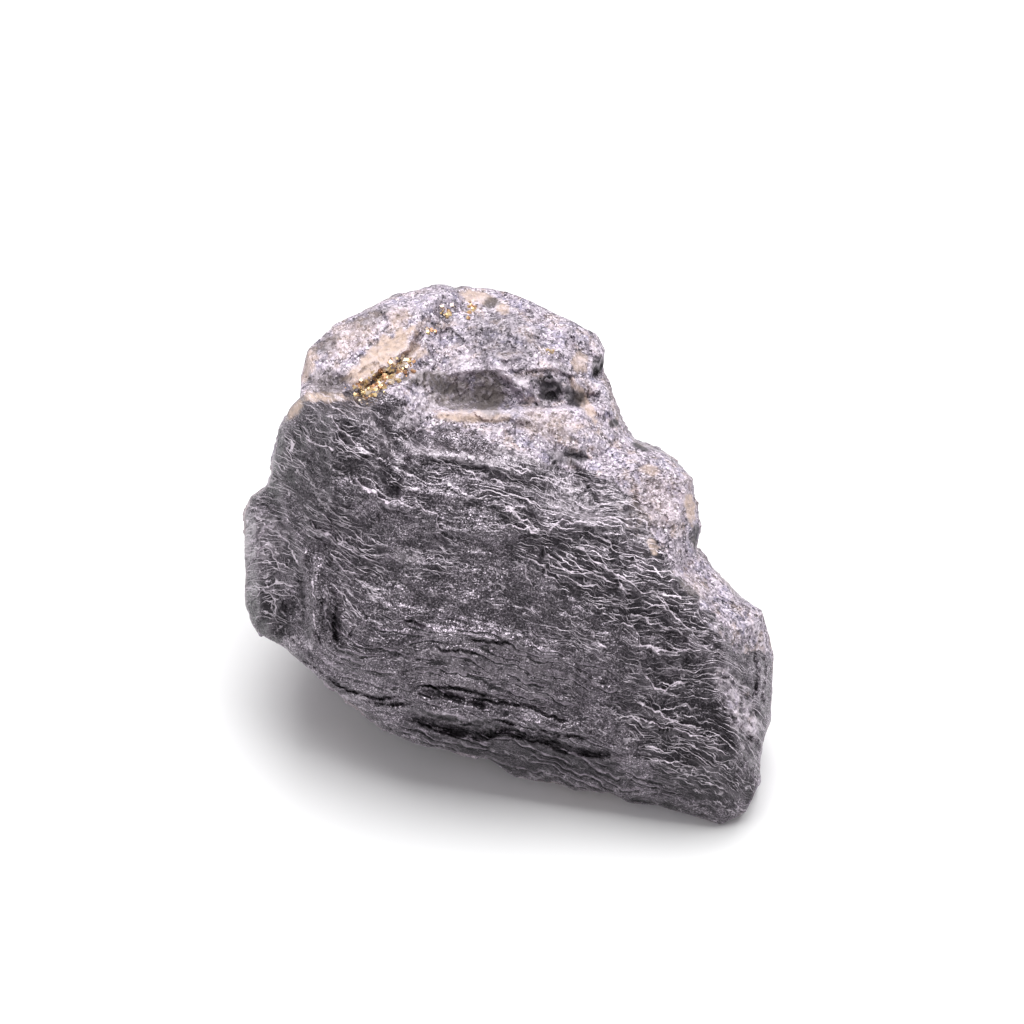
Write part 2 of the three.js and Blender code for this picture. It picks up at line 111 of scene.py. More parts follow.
def facet_noise(points: Array, seed: int) -> Array:
    """Relief from -1 to 1 made of flat facets.

    Each unit cube is split into six tetrahedra, by the order of the point's fractions, and the
    corners' values run straight between.

    Args:
        points: Shape (n, 3).
        seed: Which set of corner values.

    Returns:
        Shape (n,).
    """
    corner = np.floor(points)
    fraction = points - corner
    order = np.argsort(-fraction, axis=1, kind="stable")
    falling = np.take_along_axis(fraction, order, axis=1)
    value = lattice_value(corner, seed) * (1.0 - falling[:, 0])
    rows = np.arange(len(points))
    for n in range(3):
        corner[rows, order[:, n]] += 1.0
        following = falling[:, n + 1] if n < 2 else 0.0
        value += lattice_value(corner, seed) * (falling[:, n] - following)
    return 2.0 * value - 1.0


NOISE_GAIN = 1.5  # brings the smooth noise to about -1 to 1


def smooth_noise(x: Array, y: Array, seed: int) -> Array:
    """Rolling relief from about -1 to 1.

    A slope is drawn at each lattice point. Each corner of a cell gives its slope times the way
    from it, and the four are eased into one another across the cell.

    Args:
        x: Shape (n,), in cells.
        y: Shape (n,), in cells.
        seed: Which set of slopes.

    Returns:
        Shape (n,).
    """
    i, j = np.floor(x), np.floor(y)
    fx, fy = x - i, y - j
    a, b = smoothstep(fx), smoothstep(fy)

    def corner(di: int, dj: int) -> Array:
        """The slope drawn at the corner di, dj of the cell, times the way from it."""
        cells = np.stack([i + di, j + dj, np.zeros_like(i)], axis=-1)
        turn = 2.0 * math.pi * lattice_value(cells, seed)
        return np.cos(turn) * (fx - di) + np.sin(turn) * (fy - dj)

    low = corner(0, 0) * (1 - a) + corner(1, 0) * a
    high = corner(0, 1) * (1 - a) + corner(1, 1) * a
    return NOISE_GAIN * (low * (1 - b) + high * b)


def fractal_noise(x: Array, y: Array, seed: int, octaves: int = 3) -> Array:
    """Smooth noise in octaves, each of half the width and half the height of the one before."""
    return sum(smooth_noise(x * 2**n, y * 2**n, seed + 17 * n) / 2**n for n in range(octaves))


def warped(u: Array, v: Array, amount: float, width: float, seed: int) -> tuple[Array, Array]:
    """Places moved about by two sets of noise, each of the given amount and width.

    Args:
        u, v: Places in mm, shape (n,) each.
        amount: How far the noise moves a place, in mm.
        width: The noise's width in mm.
        seed: Which set of noise moves u; the next one moves v.

    Returns:
        The moved u and v, shape (n,) each.
    """
    x, y = u / width, v / width
    return u + amount * fractal_noise(x, y, seed), v + amount * fractal_noise(x, y, seed + 1)


def nearest_grain(points: Array, seed: int) -> tuple[Array, Array]:
    """Finds each point's nearest grain middle; one lies at random in each unit cube.

    Args:
        points: Shape (n, 3), in grain widths.
        seed: Which crowd of grains.

    Returns:
        The way from the grain's middle to the point, and the grain's own three numbers from 0
        to 1, shape (n, 3) each.
    """
    base = np.floor(points)
    nearest = np.full(len(points), np.inf)
    offset = np.zeros_like(points)
    owner = base.copy()
    for step in np.ndindex(3, 3, 3):
        cell = base + (np.array(step) - 1.0)
        middle = cell + np.stack([lattice_value(cell, seed + k) for k in range(3)], axis=-1)
        away = points - middle
        distance = np.sqrt((away**2).sum(axis=1))
        nearer = distance < nearest
        nearest = np.where(nearer, distance, nearest)
        offset[nearer] = away[nearer]
        owner[nearer] = cell[nearer]
    draw = np.stack([lattice_value(owner, seed + 7 + k) for k in range(3)], axis=-1)
    return offset, draw


GRAIN_STAGGER = 0.35  # how far a whole grain stands up or down, in shares of the grains' height


def grain_relief(points: Array, width: float, height: float, seed: int) -> Array:
    """Broken grains: each is a flat, tilted its own way, and stands a little higher or lower.

    Args:
        points: Shape (n, 3), in mm.
        width: The grains' width in mm.
        height: How far a grain's corners stand out, in mm.
        seed: Which crowd of grains.

    Returns:
        Heights in mm, shape (n,).
    """
    offset, draw = nearest_grain(points / width, seed)
    tilt = 2.0 * draw - 1.0
    return height * ((offset * tilt).sum(axis=1) + GRAIN_STAGGER * tilt[:, 0])


# --- The lump's shape ---


@dataclass(frozen=True)
class FaceFrame:
    """The frame of the shear face and how it lies over the bed, in mm and degrees."""

    normal_elevation_deg: float = 50.0
    bed_depth: float = 25.7

    def tip_back(self, uvw: Array) -> Array:
        """Turns the face frame about u by the face's lean and lifts it off the bed.

        Args:
            uvw: Points in the face frame, shape (n, 3).

        Returns:
            Points with +Z up, in mm, not yet centred on the bed.
        """
        tilt = math.radians(self.normal_elevation_deg)
        u, v, w = uvw.T
        y = v * math.sin(tilt) - w * math.cos(tilt)
        z = v * math.cos(tilt) + w * math.sin(tilt) + self.bed_depth
        return np.stack([u, y, z], axis=-1)

    def bed(self, v: Array) -> Array:
        """The depth w of the level bed at v."""
        tilt = math.radians(self.normal_elevation_deg)
        return -(self.bed_depth + v * math.cos(tilt)) / math.sin(tilt)


# The outline seen square to the shear face, anticlockwise, as u and v in mm.
OUTLINE = np.array([
    (33, 0), (31.5, 2), (32.5, 5.5), (31, 10), (31, 13), (26.5, 17), (21.5, 19), (19.5, 22),
    (16.5, 30), (17, 34), (15.5, 36.5), (4.5, 42), (-1.5, 44), (-5.5, 44), (-7, 43.5),
    (-10, 44.5), (-17, 42.5), (-26.5, 38), (-31, 33.5), (-32, 29), (-32, 26), (-33.5, 24.5),
    (-35.5, 20.5), (-37, 12), (-40, 10), (-41, 7.5), (-41, -7), (-40, -10), (-38.5, -12),
    (-34.5, -14), (-30.5, -17.5), (-18.5, -27.5), (-12, -30), (-8.5, -30.5), (-1.5, -32),
    (2.5, -35), (9.5, -36), (12, -37), (18, -37.5), (20.5, -39), (25.5, -39.5), (35.5, -42.5),
    (39.5, -40.5), (41.5, -36), (42, -29.5), (43.5, -26), (44, -15), (42, -8), (38, -6),
])

# The front's blocks, each bounded by planes: u, v and w of a point on the plane, and how fast w
# grows along u and along v.
FACE_BLOCKS: dict[str, list[tuple[float, ...]]] = {
    "shear slab": [
        (-6, -2, 17.6, 0.02, 0.06), (-6, -16, 16.4, 0.02, 0.3), (22, -10, 17.0, -0.14, 0.12),
        (-24, 0, 15.4, 0.26, 0.03), (-32, 0, 11.4, 1.1, 0.04), (0, 14, 16.2, -0.05, -0.42),
        (0, 19, 12.6, -0.05, -1.05), (26, 6, 13.0, -0.55, -0.6), (22, 2, 14.6, -0.4, -0.5),
        (38, -9, 9.6, -0.9, -0.9), (40, -20, 9.4, -1.25, -0.05), (-18, -22, 11.6, 0.5, 0.85),
        (0, -28, 10.6, 0.2, 0.92), (34, -37, 8.4, -0.15, 0.7),
    ],
    "nose": [
        (-22, 16, 18.6, 0.06, -0.02), (-24, 24.5, 15.4, 0.12, -1.6), (-17, 18, 15.4, -0.8, -0.35),
        (-30, 18, 14.2, 1.2, -0.05), (-21, 3, 15.8, 0.1, 0.5),
    ],
    "left lobe": [
        (-36, -1, 8.0, 0.4, 0.05), (-40, 0, 5.2, 1.5, 0.1), (-37, 8, 6.4, 0.35, -0.95),
        (-36, -10, 6.4, 0.3, 0.9), (-31, 0, 9.4, -1.2, 0),
    ],
    "right lobe": [
        (26, 9, 10.2, -0.35, -0.3), (31, 8, 6.6, -1.4, -0.1), (25, 15, 7.2, -0.4, -1.1),
        (15, 6, 13.5, 0.6, 0.7), (12, 14, 11.6, 0.5, 0),
    ],
    "dome": [
        (0, 33, 5.2, -0.03, -0.7), (0, 41, -2.6, -0.1, -1.35), (12, 34, 2.2, -0.85, -0.5),
        (-9, 34, 3.6, 0.6, -0.6), (0, 30, 6.4, -0.1, 1.3),
    ],
    "granular bank": [
        (4, 21, 10.0, -0.08, -0.5), (4, 24, 8.4, 0, -2.5), (-13, 22, 10.2, 0.9, -0.4),
        (15, 20, 8.2, -0.9, -0.5), (4, 16, 10.0, 0, 1.2),
    ],
    "left mass": [
        (-20, 34, 6.4, 0.12, -0.65), (-18, 41, 1.6, 0.1, -1.3), (-29, 31, 8.4, 1.1, -0.4),
        (-14, 34, 6.6, -0.8, -0.35), (-22, 25, 12.0, 0, 1.2),
    ],
    "neck": [
        (16, 25, 4.2, -0.6, -0.45), (20, 24, 1.2, -1.4, -0.3), (16, 34, -1.6, -0.7, -1.1),
        (13, 22, 5.4, 1.0, 0.1), (17, 19, 6.0, 0.1, 1.0),
    ],
    "body": [
        (-4, 27, 6.3, 0, 0.05), (0, 36, -0.4, 0, -1.1), (18, 26, -0.6, -0.9, -0.4),
        (-27, 28, 3.0, 0.7, -0.5), (0, 20, 5.0, 0, 0.9),
    ],
}

# Planes that the hidden side is broken off along: bearing in degrees, reach and depth w of a
# point on the plane, and how fast w grows outwards.
BREAKS = [
    (18, 35.5, -1, 2.2), (40, 31.5, -9, 1.0), (62, 37.5, -9, 1.5), (88, 43.5, -13, 1.8),
    (108, 45.5, -10, 1.1), (133, 44, -6, 1.6), (158, 41, -4, 1.5), (186, 41.5, -3, 1.5),
    (225, 36, -2, 1.3), (252, 32, -3, 1.1), (290, 52, 0, 1.5), (332, 54, -1, 2.2),
    (80, 32, -31, 0.45), (120, 30, -30, 0.7), (25, 27, -26, 0.8), (350, 33, -22, 1.2),
    (172, 31, -23, 0.8), (215, 22, -24, 0.6), (0, 0, -44, 0),
]

# Inner corners of the cubes cleaved out of the hidden side, and how the cubes are turned.
CLEAVAGE_STEPS = [
    (9, 27, -20), (21, 13, -19), (3, 31, -29), (-8, 27, -37), (-13, 29, -21), (-27, 13, -14),
]
CLEAVAGE_TURNS_DEG = (40.0, -33.0, 14.0)


@dataclass(frozen=True)
class Ledge:
    """A step along a path: the skin stands proud on its left and sinks back over its reach."""

    height: float
    reach: float
    path: Path


LEDGES = {
    "lower lip": Ledge(1.2, 8, (
        (42, -32), (25, -31.5), (14.5, -28.5), (5.5, -27), (0.5, -24.5), (-3, -22),
        (-11, -20.5), (-14.5, -19.5), (-24, -21),
    )),
    "lip overhang": Ledge(2.0, 5, (
        (-17.4, -23.8), (-10.5, -25.8), (-3, -26.9), (0.5, -26.2), (6.9, -28), (11.2, -29.3),
        (17.3, -29.7),
    )),
    "nose flank": Ledge(1.2, 9, ((-20.5, 27), (-17.5, 22), (-15.5, 15.5), (-17.5, 9), (-22, 4))),
    "shelf edge": Ledge(1.6, 7, (
        (-16, 15.5), (-9, 15.5), (-3, 14), (4, 12), (8, 10.6),
    )),
    "shelf step": Ledge(0.9, 5, ((-12, 20), (-4, 18.5), (3, 16.5))),
    "bank foot": Ledge(1.0, 4, ((-13, 24), (-4, 22), (4, 21.5), (14, 18.5))),
    "lobe edge": Ledge(1.6, 5, ((-37, 13), (-35.5, 6), (-32.5, 0), (-32, -6), (-31, -15))),
    "upper curve": Ledge(0.8, 5, ((-24, 11.5), (-15, 6), (-6, 3), (4, 2))),
    "lower curve": Ledge(0.7, 5, ((-27, 3.5), (-18, -3), (-11, -6.5), (-2, -8))),
    "right diagonal": Ledge(0.9, 5, ((6, 7), (16, 3), (24, -2), (33, -9))),
    "right lower diagonal": Ledge(0.9, 5, ((8, -1), (20, -6), (29, -13), (35, -21))),
    "wedge": Ledge(1.0, 4, ((21, -11), (26, -19), (29, -17), (34, -12))),
    "rim strip": Ledge(0.9, 4, ((31, -13), (32.5, -19), (37, -25.6), (41.6, -31.4))),
    "low crack": Ledge(0.9, 4, ((-18, -12.5), (-7, -13.5), (3, -15), (12, -18))),
    "dome edge": Ledge(1.0, 5, ((15, 31), (6, 33.5), (-4, 34), (-12, 31))),
}


@dataclass(frozen=True)
class Ellipse:
    """An ellipse on the face: its middle, its radii, and its turn in degrees."""

    u: float
    v: float
    ru: float
    rv: float
    turn: float = 0.0

    def share(self, u: Array, v: Array) -> Array:
        """How far out each point lies: 0 at the middle and 1 on the ellipse.

        The way from the middle is split along the two turned axes, each part is divided by
        its radius, and the two are joined again as a distance.

        Args:
            u, v: Places in mm, shape (n,) each.

        Returns:
            Shape (n,).
        """
        turn = math.radians(self.turn)
        du, dv = u - self.u, v - self.v
        a = (du * math.cos(turn) + dv * math.sin(turn)) / self.ru
        b = (dv * math.cos(turn) - du * math.sin(turn)) / self.rv
        return np.hypot(a, b)


@dataclass(frozen=True)
class Boss(Ellipse):
    """A raised or sunken ellipse, and its rise in mm."""

    rise: float = 0.0


BOSSES = {
    "brown hollow": Boss(-5.6, 26.6, 6.8, 2.8, -8, -0.4),
    "dome swell": Boss(3.6, 36.6, 5.2, 2.2, -42, 1.2),
    "small hollow": Boss(8.4, 26.8, 2.8, 1.6, -10, -1.5),
    "white rib": Boss(1.8, 29.2, 4.6, 1.2, -38, 1.3),
    "neck hollow": Boss(13.6, 25.8, 1.8, 3.0, 30, -1.6),
    "round facet": Boss(-27.2, 28.0, 3.6, 2.2, 8, -1.2),
    "top pit": Boss(-1.6, 41.8, 1.4, 1.0, 0, -1.6),
    "dark lens": Boss(12.4, 17.0, 5.6, 1.2, -6, -0.8),
    "corner notch": Boss(16.4, 29.6, 1.8, 1.2, 40, -2.0),
    "face dish": Boss(2.0, 8.0, 7.5, 3.0, -14, -0.7),
    "left groove": Boss(-26.2, -8.5, 1.3, 7.0, 4, -0.6),
    "column bulge": Boss(-28.8, -8.0, 1.4, 8.0, 4, 0.7),
}

PYRITE_FISSURE = ((-23.4, 25.9), (-20.8, 28.0), (-17.4, 30.1), (-13.8, 34.0), (-11.6, 37.2))
FISSURE_WIDTH = 1.2
FISSURE_DEPTH = 2.4

BOSS_END = 1.25  # where a boss has died out, in shares of its ellipse

# How many times shorter than its path the part is over which a ledge or a groove dies out.
LEDGE_ENDS = 6
GROOVE_ENDS = 5

# Where the shear face ends and the coarsely broken skin begins, and how wide the change is.
FACE_EDGE = (
    (-42, 22), (-33, 24.8), (-24, 26), (-19, 25.6), (-10, 21.3), (0, 16.8), (6.4, 14.4),
    (12.8, 13.1), (17.6, 11.2), (21.3, 8.2), (23.5, 3.5), (25.6, -0.3), (29.1, -5), (33.4, -9.9),
    (37.6, -14.2), (44, -17),
)
FACE_EDGE_WIDTH = 2.6


def plane_depth(plane: tuple[float, ...], u: Array, v: Array) -> Array:
    """Depth w of a plane (u, v, w, du, dv): w at its point, plus du and dv per millimetre."""
    pu, pv, w, du, dv = plane
    return w + du * (u - pu) + dv * (v - pv)


def block_depth(u: Array, v: Array) -> Array:
    """The outermost block's depth; each block's own is that of its innermost plane."""
    heap = [np.min([plane_depth(p, u, v) for p in planes], axis=0) for planes in FACE_BLOCKS.values()]
    return np.max(heap, axis=0)


def along_path(u: Array, v: Array, path: Path) -> tuple[Array, Array]:
    """Distance of each point from a path and how far along it the nearest point lies.

    Args:
        u: Shape (n,).
        v: Shape (n,).
        path: The path's points.

    Returns:
        The distance, positive on the path's left, and the place along it from 0 to 1.
    """
    best = np.full(u.shape, np.inf)
    signed = best.copy()
    along = np.zeros(u.shape)
    for k, ((ax, ay), (bx, by)) in enumerate(zip(path[:-1], path[1:])):
        ex, ey = bx - ax, by - ay
        t = np.clip(((u - ax) * ex + (v - ay) * ey) / (ex * ex + ey * ey), 0, 1)
        distance = np.hypot(u - ax - t * ex, v - ay - t * ey)
        side = np.where(ex * (v - ay) - ey * (u - ax) >= 0, 1.0, -1.0)
        nearer = distance < best
        best = np.where(nearer, distance, best)
        signed = np.where(nearer, side * distance, signed)
        along = np.where(nearer, (k + t) / (len(path) - 1), along)
    return signed, along


def dying_out(along: Array, times_shorter: float) -> Array:
    """1 along a path's middle, eased to 0 over the given fraction of it at both ends."""
    return smoothstep(times_shorter * np.minimum(along, 1 - along))


def ledge_rise(u: Array, v: Array, ledge: Ledge, riser: float) -> Array:
    """A steep rise at the path, a slow fall over the reach, and both ends dying out.

    Args:
        u, v: Places in mm, shape (n,) each.
        ledge: The ledge.
        riser: Width of its steep rise, in mm.

    Returns:
        Heights in mm, shape (n,).
    """
    signed, along = along_path(u, v, ledge.path)
    rise = ledge.height * dying_out(along, LEDGE_ENDS) * smoothstep(signed / riser)
    return rise * (1 - smoothstep(signed / ledge.reach))


def groove_depth(
    u: Array, v: Array, path: Path, width: float, depth: float
) -> Array:
    """A groove that is deepest on its path, eased to nothing at its half width and both ends.

    Args:
        u, v: Places in mm, shape (n,) each.
        path: The groove's path.
        width: Its half width in mm.
        depth: Its depth in mm.

    Returns:
        Depths in mm, shape (n,).
    """
    signed, along = along_path(u, v, path)
    return depth * dying_out(along, GROOVE_ENDS) * (1 - smoothstep(np.abs(signed) / width))


def boss_rise(u: Array, v: Array, boss: Boss) -> Array:
    """The boss's rise at its middle, eased to nothing a quarter past its ellipse."""
    return boss.rise * (1 - smoothstep(boss.share(u, v) / BOSS_END))


def outline_radius(angle: Array) -> Array:
    """Where the ray from the middle at each angle crosses the outline's side.

    The side runs from a to b; the radius is the cross product of a and the side over the cross
    product of the ray and the side.

    Args:
        angle: In radians, of any shape.

    Returns:
        Radii in mm, of the same shape.
    """
    turns = np.mod(np.arctan2(OUTLINE[:, 1], OUTLINE[:, 0]), 2 * math.pi)
    turn = np.mod(angle, 2 * math.pi)
    end = np.searchsorted(turns, turn, side="right") % len(OUTLINE)
    a, b = OUTLINE[end - 1], OUTLINE[end]
    e = b - a
    return (a[..., 0] * e[..., 1] - a[..., 1] * e[..., 0]) / (
        np.cos(turn) * e[..., 1] - np.sin(turn) * e[..., 0]
    )


# --- The sheared skin ---


# Which way the lamellae's edges run: u, v, and degrees anticlockwise from +u.
STREAKS = [
    (-33, 13, -62), (-27, 19, -42), (-21, 23, -32), (-17, 16, -58), (-12, 20, -40), (-8, 17, -18),
    (5, 17, -22), (16, 13, -14), (0, 11, -12), (13, 8, -4), (22, 4, -14), (17, -3, -34), (29, -9, -43),
    (36, -9, -48), (2, 3, -26), (-10, 6, -22), (-22, 5, -34), (-28, 0, -52), (-30, -9, -86),
    (-24, -9, -74), (-40, 4, 42), (-37, 6, -4), (-34, 2, -54), (-39, -7, 20), (-34, -10, -30),
    (-14, -4, -26), (-3, -6, -20), (8, -7, -48), (-9, -14, -10), (4, -17, -13), (-20, -17, -24),
    (-6, -24, -13), (10, -28, -15), (0, -30, -6), (20, -9, -20), (28, -14, -16), (16, -18, -38),
    (24, -23, -22), (33, -27, -20), (39, -20, -80), (41, -28, -76), (26, -35, -16), (36, -38, -26),
]


@dataclass(frozen=True)
class Flow:
    """The shearing's own coordinates: psi runs along the lamellae's edges and phi across them.

    Each streak has straight coordinates of its own, and those of all streaks are blended by
    their nearness, which falls off as a bell of the given reach.
    """

    reach: float = 5.5
    mean_lean_deg: float = -20.0
    waver: float = 0.55
    waver_width: float = 4.0

    def at(self, u: Array, v: Array) -> tuple[Array, Array]:
        """Works out psi and phi.

        Args:
            u, v: Places in mm, shape (n,) each.

        Returns:
            psi and phi in mm, shape (n,) each.
        """
        u = u + self.waver * fractal_noise(u / self.waver_width, v / self.waver_width, SEED + 21)
        v = v + self.waver * fractal_noise(u / self.waver_width, v / self.waver_width, SEED + 22)
        mean = math.radians(self.mean_lean_deg)
        total = np.full(u.shape, 1e-9)
        psi = np.zeros(u.shape)
        phi = np.zeros(u.shape)
        for streak_u, streak_v, lean_deg in STREAKS:
            lean = math.radians(lean_deg)
            du, dv = u - streak_u, v - streak_v
            near = np.exp(-(du * du + dv * dv) / (2 * self.reach**2))
            along = streak_u * math.cos(mean) + streak_v * math.sin(mean)
            across = streak_v * math.cos(mean) - streak_u * math.sin(mean)
            psi += near * (along + du * math.cos(lean) + dv * math.sin(lean))
            phi += near * (across + dv * math.cos(lean) - du * math.sin(lean))
            total += near
        return psi / total, phi / total


@dataclass(frozen=True)
class Lamellae:
    """One set of torn lamellae, each rising slowly up the face and dropping off at its lip.

    Attributes:
        pitch: From one lip to the next, in mm.
        height: How far the proudest lips stand out, in mm.
        lip: Share of the pitch over which the skin drops off again.
        length: How long a lip runs before it fades, in mm.
        wander: How far the lips wave, in pitches.
        seed: Which set of random numbers.
        tear: How far the lips zigzag, in mm.
        tear_cells: Length and width of each set of zigzags in mm, and their share.
        least: The lowest lips' share of the full height.
    """

    pitch: float
    height: float
    lip: float
    length: float
    wander: float
    seed: int
    tear: float = 0.35
    tear_cells: tuple[Triple, ...] = ((1.9, 1.3, 1.0), (0.8, 0.7, 0.5))
    wave_width: float = 2.4
    shown: float = 0.3
    fading: float = 2.0
    least: float = 0.45

    def order(self, psi: Array, phi: Array) -> tuple[Array, Array]:
        """Numbers the lamellae and says how far each stands out.

        The order is phi over the pitch, waved by noise; its whole part is the lamella's number.
        The strength is each lamella's own, fading in and out along it.

        Args:
            psi: Place along the lips, shape (n,).
            phi: Place across them, shape (n,).

        Returns:
            The order, and the strength from 0 to 1, shape (n,) each.
        """
        wave_cells = self.stretched(psi, phi, self.length, self.wave_width * self.pitch)
        wave = facet_noise(wave_cells, self.seed)
        tear = sum(
            share * facet_noise(self.stretched(psi, phi, length, width), self.seed + 3 + n)
            for n, (length, width, share) in enumerate(self.tear_cells)
        )
        order = phi / self.pitch + self.wander * wave + self.tear / self.pitch * tear
        patches = smooth_noise(psi / self.length, phi / self.pitch, self.seed + 7)
        return order, smoothstep(self.shown + self.fading * patches)

    @staticmethod
    def stretched(psi: Array, phi: Array, length: float, width: float) -> Array:
        """The points' places on a lattice of long cells, shape (n, 3)."""
        return np.stack([psi / length, phi / width, np.zeros_like(phi)], axis=-1)

    def relief(self, order: Array, strength: Array) -> Array:
        """Heights in mm.

        With f the fraction of the order, the height is the lesser of f / (1 - lip) and
        (1 - f) / lip, times the strength and the lamella's own share of the full height.

        Args:
            order: The lamella's number plus the place across it, shape (n,).
            strength: From 0 to 1, shape (n,).

        Returns:
            Shape (n,).
        """
        number = np.floor(order)
        across = order - number
        profile = np.minimum(across / (1 - self.lip), (1 - across) / self.lip)
        cells = np.stack([number, np.zeros_like(number), np.zeros_like(number)], axis=-1)
        own = lattice_value(cells, self.seed + 5)
        return self.height * (self.least + (1 - self.least) * own) * profile * strength


LAMELLAE = [
    Lamellae(pitch=3.2, height=0.5, lip=0.12, length=9.0, wander=0.8, seed=SEED + 31),
    Lamellae(pitch=1.7, height=0.26, lip=0.2, length=6.0, wander=0.8, seed=SEED + 41),
    Lamellae(pitch=1.1, height=0.14, lip=0.22, length=4.0, wander=0.8, seed=SEED + 51),
    Lamellae(pitch=0.7, height=0.08, lip=0.3, length=3.0, wander=0.8, seed=SEED + 56),
]
MESHED_LAMELLAE = LAMELLAE[:2]  # the finer ones are left to the finish

# Thin torn edges: height, reach, and the path on whose left they stand proud.
TORN_EDGES = [
    (0.8, 4, (
        (-8, 4.5), (-9.4, 5.1), (-9.9, 7.8), (-14.1, 9), (-18.7, 10.1), (-21.8, 12), (-23, 14.5),
    )),
    (0.7, 3.5, ((-19.5, -0.6), (-21, 0.6), (-24, 2.6), (-26.2, 3.2), (-29.2, 5.1), (-32, 7.8))),
    (0.5, 2.5, ((-22.3, -2.1), (-24.5, -1), (-26.7, 0.6))),
    (0.5, 2, ((-25.6, 4.5), (-28.4, 7.4))),
    (0.5, 2.5, ((-20.5, 16.3), (-22.1, 18.1), (-24.8, 21.1), (-27.8, 23.4))),
    (0.45, 2, ((-26.2, 17.2), (-27.8, 18.1), (-31.4, 20))),
    (0.6, 3, ((-22.9, -12), (-24.2, -9), (-25.1, -4.8))),
    (0.6, 1.6, ((-26.6, -14.5), (-27.4, -9), (-27.6, -3.5))),
    (0.5, 1.4, ((-28.8, -14), (-29.6, -8), (-29.4, -2))),
    (0.6, 3, ((6.9, 4.3), (2.7, 7.4), (-1.8, 9.3))),
    (0.8, 3.5, ((22.6, 5.4), (15.7, 6.2), (9, 6.4), (7, 4.3))),
    (0.7, 3, ((7, 4), (5.4, 4.8), (-1, 6.2))),
    (0.6, 3, ((10.1, -4), (7.4, -2.6), (7, -0.5), (3.8, 0.6))),
    (0.7, 3, ((16.2, -2.4), (9.6, -1), (7.4, 2.1))),
    (0.8, 3.5, ((26.7, -5.4), (22.8, -4.8), (21.1, -3.2), (17.3, -1.5), (10.7, 3.2))),
    (0.5, 2.5, ((20.9, -5.4), (18.4, -3.5))),
    (0.5, 3, ((28, -11.2), (23.7, -9.3), (20.6, -8.4))),
    (0.8, 3, (
        (34.1, -14.7), (29.4, -13.9), (28, -14.7), (24.5, -13.9), (22.6, -12.8), (21.4, -10.3),
        (19.5, -9.9), (17.6, -11.4),
    )),
    (0.7, 3, ((29.9, -18.9), (27.5, -19.7), (25.8, -20.8), (21.4, -16.6))),
    (0.6, 3, ((17.6, -20.5), (14.8, -19.2), (11.5, -15.8))),
    (0.9, 3.5, ((32.7, -26.9), (28.6, -25.8), (25.3, -24.2), (21.1, -21.9))),
    (0.8, 3, ((36.8, -29.6), (32.7, -28), (27.8, -27.2), (24.5, -25.8), (21.7, -25.2))),
    (0.9, 3.5, ((34.1, -13.6), (31.8, -12.8), (28.8, -9.5), (26.1, -6.5), (23.8, -4.8))),
    (0.5, 2.5, ((17, -13.9), (15.7, -13.4), (14.6, -10.9))),
    (0.4, 2.5, ((5.4, -5.9), (3.8, -0.2))),
    (0.6, 2.5, ((-40.6, 1), (-38.6, 4.4), (-35.9, 5.2), (-33.4, 1.8), (-31.4, -2.2))),
    (0.5, 2, ((-40.4, -1.6), (-38, 1.8), (-36.2, 0.4), (-34.6, -2.6))),
    (0.5, 2, ((-39.6, -6.8), (-37.8, -4.6), (-35.8, -6.4), (-36.6, -9.4))),
]

